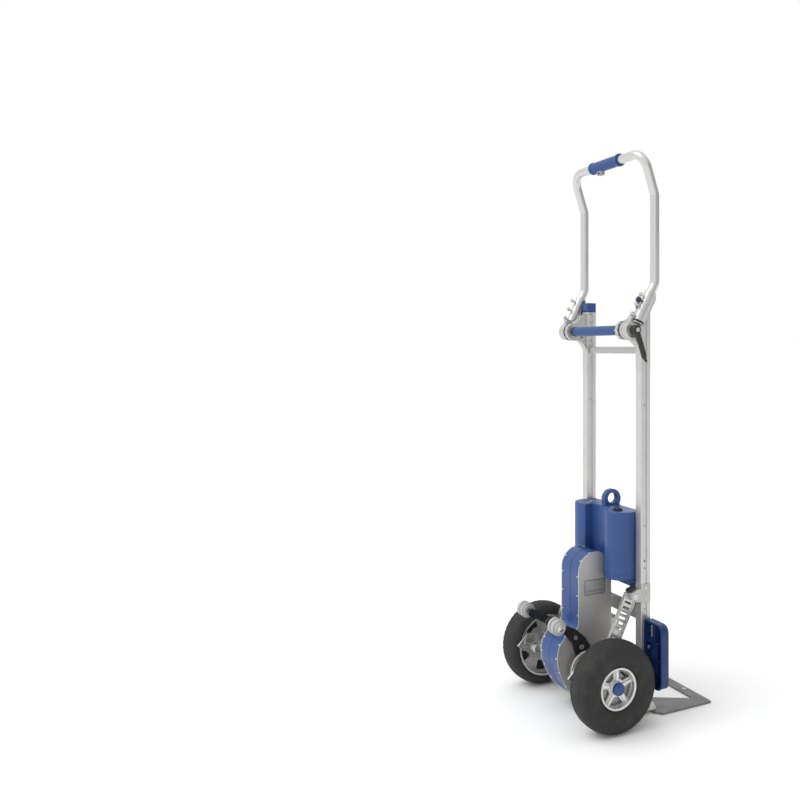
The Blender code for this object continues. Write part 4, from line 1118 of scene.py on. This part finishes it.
def make_battery():
    """The twin-lobed case with a groove round it, its screws, charging cap and knob."""
    lobe = arc(*LOBE, LOBE_R, -22, 118, 40)
    corner = rounded([(54, -72), (52, -77), (52, -101.5), (46, -101.5)], [0, 0, 6, 0], 5)
    shoulder = rounded([(110, -160), (130.5, -160), (130.5, -131.5)], [0, 8, 0], 6)
    half = [(0, -160), *shoulder, *lobe, *corner, (0, -101.5)]
    outline = half + [(-x, y) for x, y in reversed(half[1:-1])]
    low, high = battery_low.z, battery_high.z
    quarter = [math.radians(18 * k) for k in range(6)]
    levels = [(low + 2.5 * (1 - math.cos(t)), 2.5 * (1 - math.sin(t))) for t in quarter]
    levels += [(411.3, 0.0), (411.3, 0.9), (412.3, 0.9), (412.3, 0.0)]
    levels += [(high - 4.5 * (1 - math.cos(t)), 4.5 * (1 - math.sin(t))) for t in reversed(quarter)]
    piece("battery_shell", stack(outline, levels), "blue", "battery", "battery_case", angle=30)
    bolts = [screw((x, battery_low.y + 0.1, z), (0, -1, 0), 4.2, 1.6)
             for x in (-118, -40, 40, 118) for z in (424, 576)]
    piece("battery_screws", joined(bolts), "screw", "battery")
    oval = [(58.5 + 6.6 * x, -87.5 + 5.6 * y) for x, y in circle(0, 0, 1, 40)]
    piece("battery_charge_cap", prism(oval, "Z", 597.4, 599.4), "green", "battery", edge=0.5)
    knob = lathe([(0, 0), (5.4, 0), (5.8, 0.6), (5.8, 4.4), (4.6, 5.6), (0, 5.8)], "Z",
                 (66, -104, 597.8), 40)
    piece("battery_knob", knob, "grey", "battery")


def make_carry_ring():
    """The upright carrying ring on the battery and the pad it grows from."""
    top = battery_high.z
    outline = [(-160, top + 0.3), (-160, top + 3.3), *arc(-134, 617, 31, 203, -23, 44), (-106, top + 3.3),
               (-106, top + 0.3)]
    ring = prism(outline, "X", -9.0, 9.0, holes=[circle(-134, 620, 16.5, 48)])
    piece("carry_ring", ring, "blue", "battery", "battery_carry_ring", 2.6, segments=4)
    pad = prism(rounded(rectangle(-13, 13, -161, -101), 5, 5), "Z", top - 1.2, top + 1.4)
    piece("carry_ring_foot", pad, "blue", "battery", edge=0.7)


def make_latch():
    """The sliding latch with finger grooves, in its bezel."""
    top = battery_high.z
    grooves = [box(x, x + 1.6, -109, -91, top + 5.2, top + 8) for x in (-93, -89, -85, -81)]
    slider = combine(box(-97, -75, -108, -92, top + 0.3, top + 6.4), ("-", joined(grooves)))
    piece("battery_latch_slider", slider, "black_plastic", "latch", "battery_latch", 0.7)
    hole = rounded(rectangle(-98.5, -73.5, -109.5, -86.5), 2.5, 5)
    bezel = prism(rounded(rectangle(-101, -71, -112, -84), 4, 5), "Z", top - 0.6, top + 1.4, holes=[hole])
    piece("battery_latch_bezel", bezel, "socket_blue", "battery", edge=0.4)


make_battery()
make_carry_ring()
make_latch()
carry_over("battery_tray", "blue", 1.4)
carry_over("power_connector", "socket_blue", 1.2)

# ---------------------------------------------------------------- handle
PIVOT = (-82.6, 1139.5)
LEG_X, LEG_Y = 192.0, -157.7
LEG_LOW, LEG_HIGH = 1275.0, 1537.0
BAR_Y, BAR_Z = -116.0, 1658.0
SOCKET_LOW = Vector((187.5, -97.0, 1157.0))
TUBE_R = 13.5
LEG_UP = (Vector((LEG_X, LEG_Y, LEG_LOW)) - SOCKET_LOW).normalized()
LEG_OUT = Vector((0.0, LEG_UP.z, -LEG_UP.y)).normalized()
HINGE = (0, *PIVOT)


def leg_at(s, side=1):
    """The point s up the leg's axis from its lower end."""
    p = SOCKET_LOW + LEG_UP * s
    return Vector((side * p.x, p.y, p.z))


def make_hinge_bracket(side, label):
    """The casting on the rail: an arm, a scalloped crown and the hinge disc with a black ring round it."""
    y, z = PIVOT
    outline = [(RAIL_BACK + 0.3, 1200), (RAIL_BACK + 0.3, 1082), (-122, 1095), (-109, 1108),
               *arc(y, z, 27, -102, 96, 28), (-100, 1176), (-112, 1190)]
    arm = slab(side, outline, 136.0, 160.4)
    web = slab(side, [(RAIL_BACK + 0.2, 1196), (RAIL_BACK + 0.2, 1086), (-126, 1092), (-126, 1192)],
               134.0, 161.6)
    relief = pin(side, (-110.0, 1124.0), 6.5, 130.0, 166.0)
    scallops = []
    for k in range(132):
        t = 2 * math.pi * k / 132
        r = 26.4 + 2.8 * max(-0.5, min(0.7, 1.6 * math.cos(11 * t)))
        scallops.append((y + r * math.cos(t), z + r * math.sin(t)))
    crown = slab(side, scallops, 133.8, 149.0)
    disc = turned(side, [(0, 133.4), (19, 133.4), (21, 134.6), (22, 158.4), (27, 159.0), (28, 160.0),
                         (28, 168.6), (27, 169.6), (0, 169.6)], HINGE, 72)
    bore = pin(side, PIVOT, 7.4, 120.0, 180.0, 36)
    plate = combine(arm, ("+", web), ("-", relief))
    bm = combine(plate, ("+", combine(crown, ("+", disc))), ("-", bore))
    piece(f"hinge_bracket_{label}_casting", bm, "cast", "frame", f"hinge_bracket_{label}", 0.7)
    ring = turned(side, [(24.0, 150.2), (27.0, 150.2), (27.9, 151), (27.9, 157.6), (27.0, 158.4),
                         (24.0, 158.4)], HINGE, 72)
    piece(f"hinge_ring_{label}", ring, "black_plastic", "frame", edge=0.3)
    heads = [screw((side * 160.2, -119.0, z), (side, 0, 0), 5.0, 3.4) for z in (1180.0, 1106.0)]
    heads += [screw((side * (RAIL_IN + 12), RAIL_FRONT + 0.1, z), (0, -1, 0), 4.6, 2.4)
              for z in (1176, 1104)]
    piece(f"hinge_bolts_{label}", joined(heads), "screw", "frame")


def make_socket(side, label):
    """Moving hinge half: a round socket round the leg, split and drawn together by bolts."""
    foot = leg_at(0, side)
    up = Vector((side * LEG_UP.x, LEG_UP.y, LEG_UP.z))
    basis = Matrix(((side, 0, up.x), (0, LEG_OUT.y, up.y), (0, LEG_OUT.z, up.z))).to_4x4()
    basis.translation = foot

    def on_leg(outline, half):
        bm = prism(outline, "X", -half, half)
        bmesh.ops.transform(bm, matrix=basis, verts=bm.verts)
        return turn_out(bm)

    def round_leg(profile):
        return turned_to(lathe(profile, "Z", (0, 0, 0), 72), up, foot)

    sleeve = round_leg([(14.0, 0), (16.2, 0), (17.2, 1.0), (17.2, 103.0), (16.2, 104.0), (14.0, 104.0)])
    ear = on_leg([(-21, 8), (-21, 92), (-15, 102), (-11, 102), (-11, 2), (-15, 2)], 7.5)
    slit = on_leg([(-26, -4), (-26, 110), (-10, 110), (-10, -4)], 0.9)
    disc = turned(side, [(0, 170), (26, 170), (27, 171), (27, 187), (24, 190), (0, 190)], HINGE, 72)
    neck = slab(side, [(-62, 1132), (-105, 1132), (-122, 1176), (-78, 1180)], 173.0, 189.0)
    leg_bore = turned_to(rod("Z", (0, 0, 0), 13.9, 8, 140, 48), up, foot)
    shaft_bore = pin(side, PIVOT, 7.4, 160.0, 230.0)
    bm = combine(sleeve, ("+", ear), ("+", disc), ("+", neck), ("-", leg_bore), ("-", shaft_bore),
                 ("-", slit))
    piece(f"handle_socket_{label}_casting", bm, "cast", "handle", f"handle_socket_{label}",
          0.7)
    studs = []
    for s in (18.0, 50.0, 82.0):
        stud = lathe([(0, 14), (2.6, 14), (2.6, 26.4), (5.6, 26.6), (6.2, 27.2), (6.2, 33.0), (5.2, 34.0),
                      (0, 34.2)], "Z", (0, 0, 0), 36)
        studs.append(turned_to(stud, LEG_OUT, leg_at(s, side)))
        nut = lathe([(0, 20), (4.4, 20), (4.4, 23.4), (3.8, 24.2), (0, 24.2)], "Z", (0, 0, 0), 6)
        studs.append(turned_to(nut, -LEG_OUT, leg_at(s, side)))
    piece(f"handle_socket_{label}_studs", joined(studs), "zinc", "handle")
    collar = round_leg([(17.3, 3), (18.2, 3), (18.8, 3.8), (18.8, 8.2), (18.2, 9), (17.3, 9)])
    piece(f"handle_socket_{label}_collar", collar, "black_plastic", "handle", edge=0.3)
    insert = rounded([(-134, 1200), (-126, 1190), (-139, 1240), (-146, 1246)], 3, 4)
    piece(f"handle_socket_{label}_insert", slab(side, insert, 167.0, 171.6), "socket_blue", "handle",
          edge=0.8)


def make_socket_knob():
    """The black thumb knob between the studs of the trolley's right-hand socket."""
    knob = lathe([(0, 15), (3, 15), (3, 24), (7.2, 24.6), (7.8, 25.4), (7.8, 33), (6.4, 34.4), (0, 34.8)],
                 "Z", (0, 0, 0), 40)
    piece("handle_socket_right_knob", turned_to(knob, LEG_OUT, leg_at(66, -1)), "black_plastic", "handle")


def make_tube():
    """The bent handle tube: up both legs, forward, and across under the top grip."""
    slant = Vector((BAR_Y - LEG_Y, BAR_Z - LEG_HIGH)).normalized()
    rise = math.hypot(BAR_Y - LEG_Y, BAR_Z - LEG_HIGH)
    bend = 48.0
    corners = [leg_at(14), (LEG_X, LEG_Y, LEG_LOW), (LEG_X, LEG_Y, LEG_HIGH),
               (LEG_X, LEG_Y + slant.x * 60, LEG_HIGH + slant.y * 60)]
    half = bend_path(corners, 42, 6)
    for x, s in arc(LEG_X - bend, rise - bend, bend, 0, 90, 16):
        half.append(Vector((x, LEG_Y + slant.x * s, LEG_HIGH + slant.y * s)))
    path = half + [Vector((-p.x, p.y, p.z)) for p in reversed(half)]
    piece("handle_bow", tube(path, TUBE_R, 44), "tube", "handle", "handle_tube", angle=50)


def make_grips():
    """Foam top grip with flared cuffs, and the lower grip on the tilt shaft with dark end caps."""

    def both_ways(half, centre, steps):
        return lathe(half + [(r, -h) for r, h in reversed(half[:-1])], "X", centre, steps)

    top = both_ways([(14.0, 76.4), (17.2, 76.6), (19.0, 75.6), (19.7, 73.0), (19.4, 69.5), (18.4, 65.5),
                     (17.3, 63.2), (16.6, 61.6), (17.0, 59.8), (17.3, 54), (17.5, 30), (17.5, 0)],
                    (0, BAR_Y, BAR_Z), 96)
    piece("top_grip_foam", top, "grip", "handle", "top_grip", angle=60)
    low = both_ways([(7.6, 119.2), (14.0, 119.2), (14.6, 117), (14.8, 60), (14.8, 0)], HINGE, 72)
    piece("lower_grip_foam", low, "grip", "handle", "lower_grip", angle=60)
    cap = [(7.6, 119.4), (14.2, 119.4), (15.2, 121), (15.2, 126.5), (13.4, 130.2), (11.5, 131.0),
           (7.6, 131.0)]
    caps = [turned(side, cap, HINGE) for side in (1, -1)]
    piece("lower_grip_caps", joined(caps), "socket_blue", "handle")


def make_clamp_lever():
    """The clamp lever on the tilt shaft's right end: a hub, a tapering arm with a metal tip, a bolt cap."""
    hub = turned(-1, [(0, 190.4), (12.2, 190.4), (13, 191.2), (13, 209.5), (11, 212.2), (6.8, 213.0),
                      (0, 213.0)], HINGE, 56)
    arm = swept([(-203.5, *PIVOT), (-205.0, -88.0, 1122.0), (-206.5, -97.0, 1098.0),
                 (-207.0, -105.0, 1072.0), (-207.0, -109.0, 1060.0)], (10.5, 9.2, 8.2, 8.0, 7.4), 36)
    bore = pin(-1, PIVOT, 7.4, 180.0, 206.2, 40)
    bm = combine(hub, ("+", arm), ("-", bore))
    piece("clamp_lever_grip", bm, "black_plastic", "clamp", "clamp_lever", 0.6, angle=40)
    tip = swept([(-207, -108.6, 1061.5), (-207, -113, 1053.5), (-207, -116.2, 1048.5)], (3.4, 4.4, 3.6), 24)
    piece("clamp_lever_tip", tip, "black", "clamp")
    cap = turned(-1, [(0, 212.8), (6.0, 212.9), (6.2, 213.6), (5.0, 214.4), (0, 214.5)], HINGE, 40)
    piece("clamp_lever_bolt", cap, "steel", "clamp")


for side, label in SIDES:
    make_hinge_bracket(side, label)
    make_socket(side, label)
make_socket_knob()
make_tube()
make_grips()
make_clamp_lever()
carry_over("tilt_shaft", "steel", 0.4)
carry_over("control_housing", "grey", 1.2)
carry_over("control_button", "blue", 0.5)

# ---------------------------------------------------------------- camera, light, floor
CAMERA_AT = (-2.1994, 1.3564 + AXLE_Y, 1.0837)
LENS = 37.64
SHIFT_X, SHIFT_Y = -0.148, -0.0685
HEADING = 242.04
LIGHT_SIDE = Vector((0.60, 0.75, 0.25)).normalized()
SUN = 1.1


def make_camera():
    """Stands behind the trolley on its right and looks level, with a shifted lens."""
    camera = bpy.data.objects.new("camera", bpy.data.cameras.new("camera"))
    bpy.context.scene.collection.objects.link(camera)
    camera.data.lens = LENS
    camera.data.sensor_width = 36.0
    camera.data.shift_x, camera.data.shift_y = SHIFT_X, SHIFT_Y
    camera.location = CAMERA_AT
    camera.rotation_euler = (math.radians(90), 0, math.radians(HEADING))
    bpy.context.scene.camera = camera


def make_studio():
    """White all round, falling to grey on the trolley's right, with a soft sun from behind it."""
    world = bpy.data.worlds.new("studio")
    bpy.context.scene.world = world
    world.use_nodes = True
    nodes, links = world.node_tree.nodes, world.node_tree.links
    place = nodes.new("ShaderNodeTexCoord")
    along = nodes.new("ShaderNodeVectorMath")
    along.operation = "DOT_PRODUCT"
    along.inputs[1].default_value = LIGHT_SIDE
    fall = nodes.new("ShaderNodeMapRange")
    fall.interpolation_type = "SMOOTHSTEP"
    limits = {"From Min": -0.75, "From Max": -0.12, "To Min": 0.5, "To Max": 1.0}
    for name, number in limits.items():
        fall.inputs[name].default_value = number
    links.new(place.outputs["Generated"], along.inputs[0])
    links.new(along.outputs["Value"], fall.inputs["Value"])
    links.new(fall.outputs["Result"], nodes["Background"].inputs["Strength"])
    nodes["Background"].inputs["Color"].default_value = (1.0, 1.0, 1.0, 1.0)
    bpy.ops.mesh.primitive_plane_add(size=60, location=(0, 0, 0))
    floor = bpy.context.object
    floor.name = "floor"
    paint = bpy.data.materials.new("floor_paint")
    paint.use_nodes = True
    shader = paint.node_tree.nodes["Principled BSDF"]
    shader.inputs["Base Color"].default_value = (0.96, 0.96, 0.96, 1)
    shader.inputs["Roughness"].default_value = 0.9
    floor.data.materials.append(paint)
    sun = bpy.data.lights.new("sun", "SUN")
    sun.energy = SUN
    sun.angle = math.radians(40)
    lamp = bpy.data.objects.new("sun", sun)
    bpy.context.scene.collection.objects.link(lamp)
    lamp.rotation_euler = Vector((-0.25, -1.0, -1.3)).to_track_quat("-Z", "Y").to_euler()


bpy.context.scene.view_settings.view_transform = "Standard"
make_camera()
make_studio()
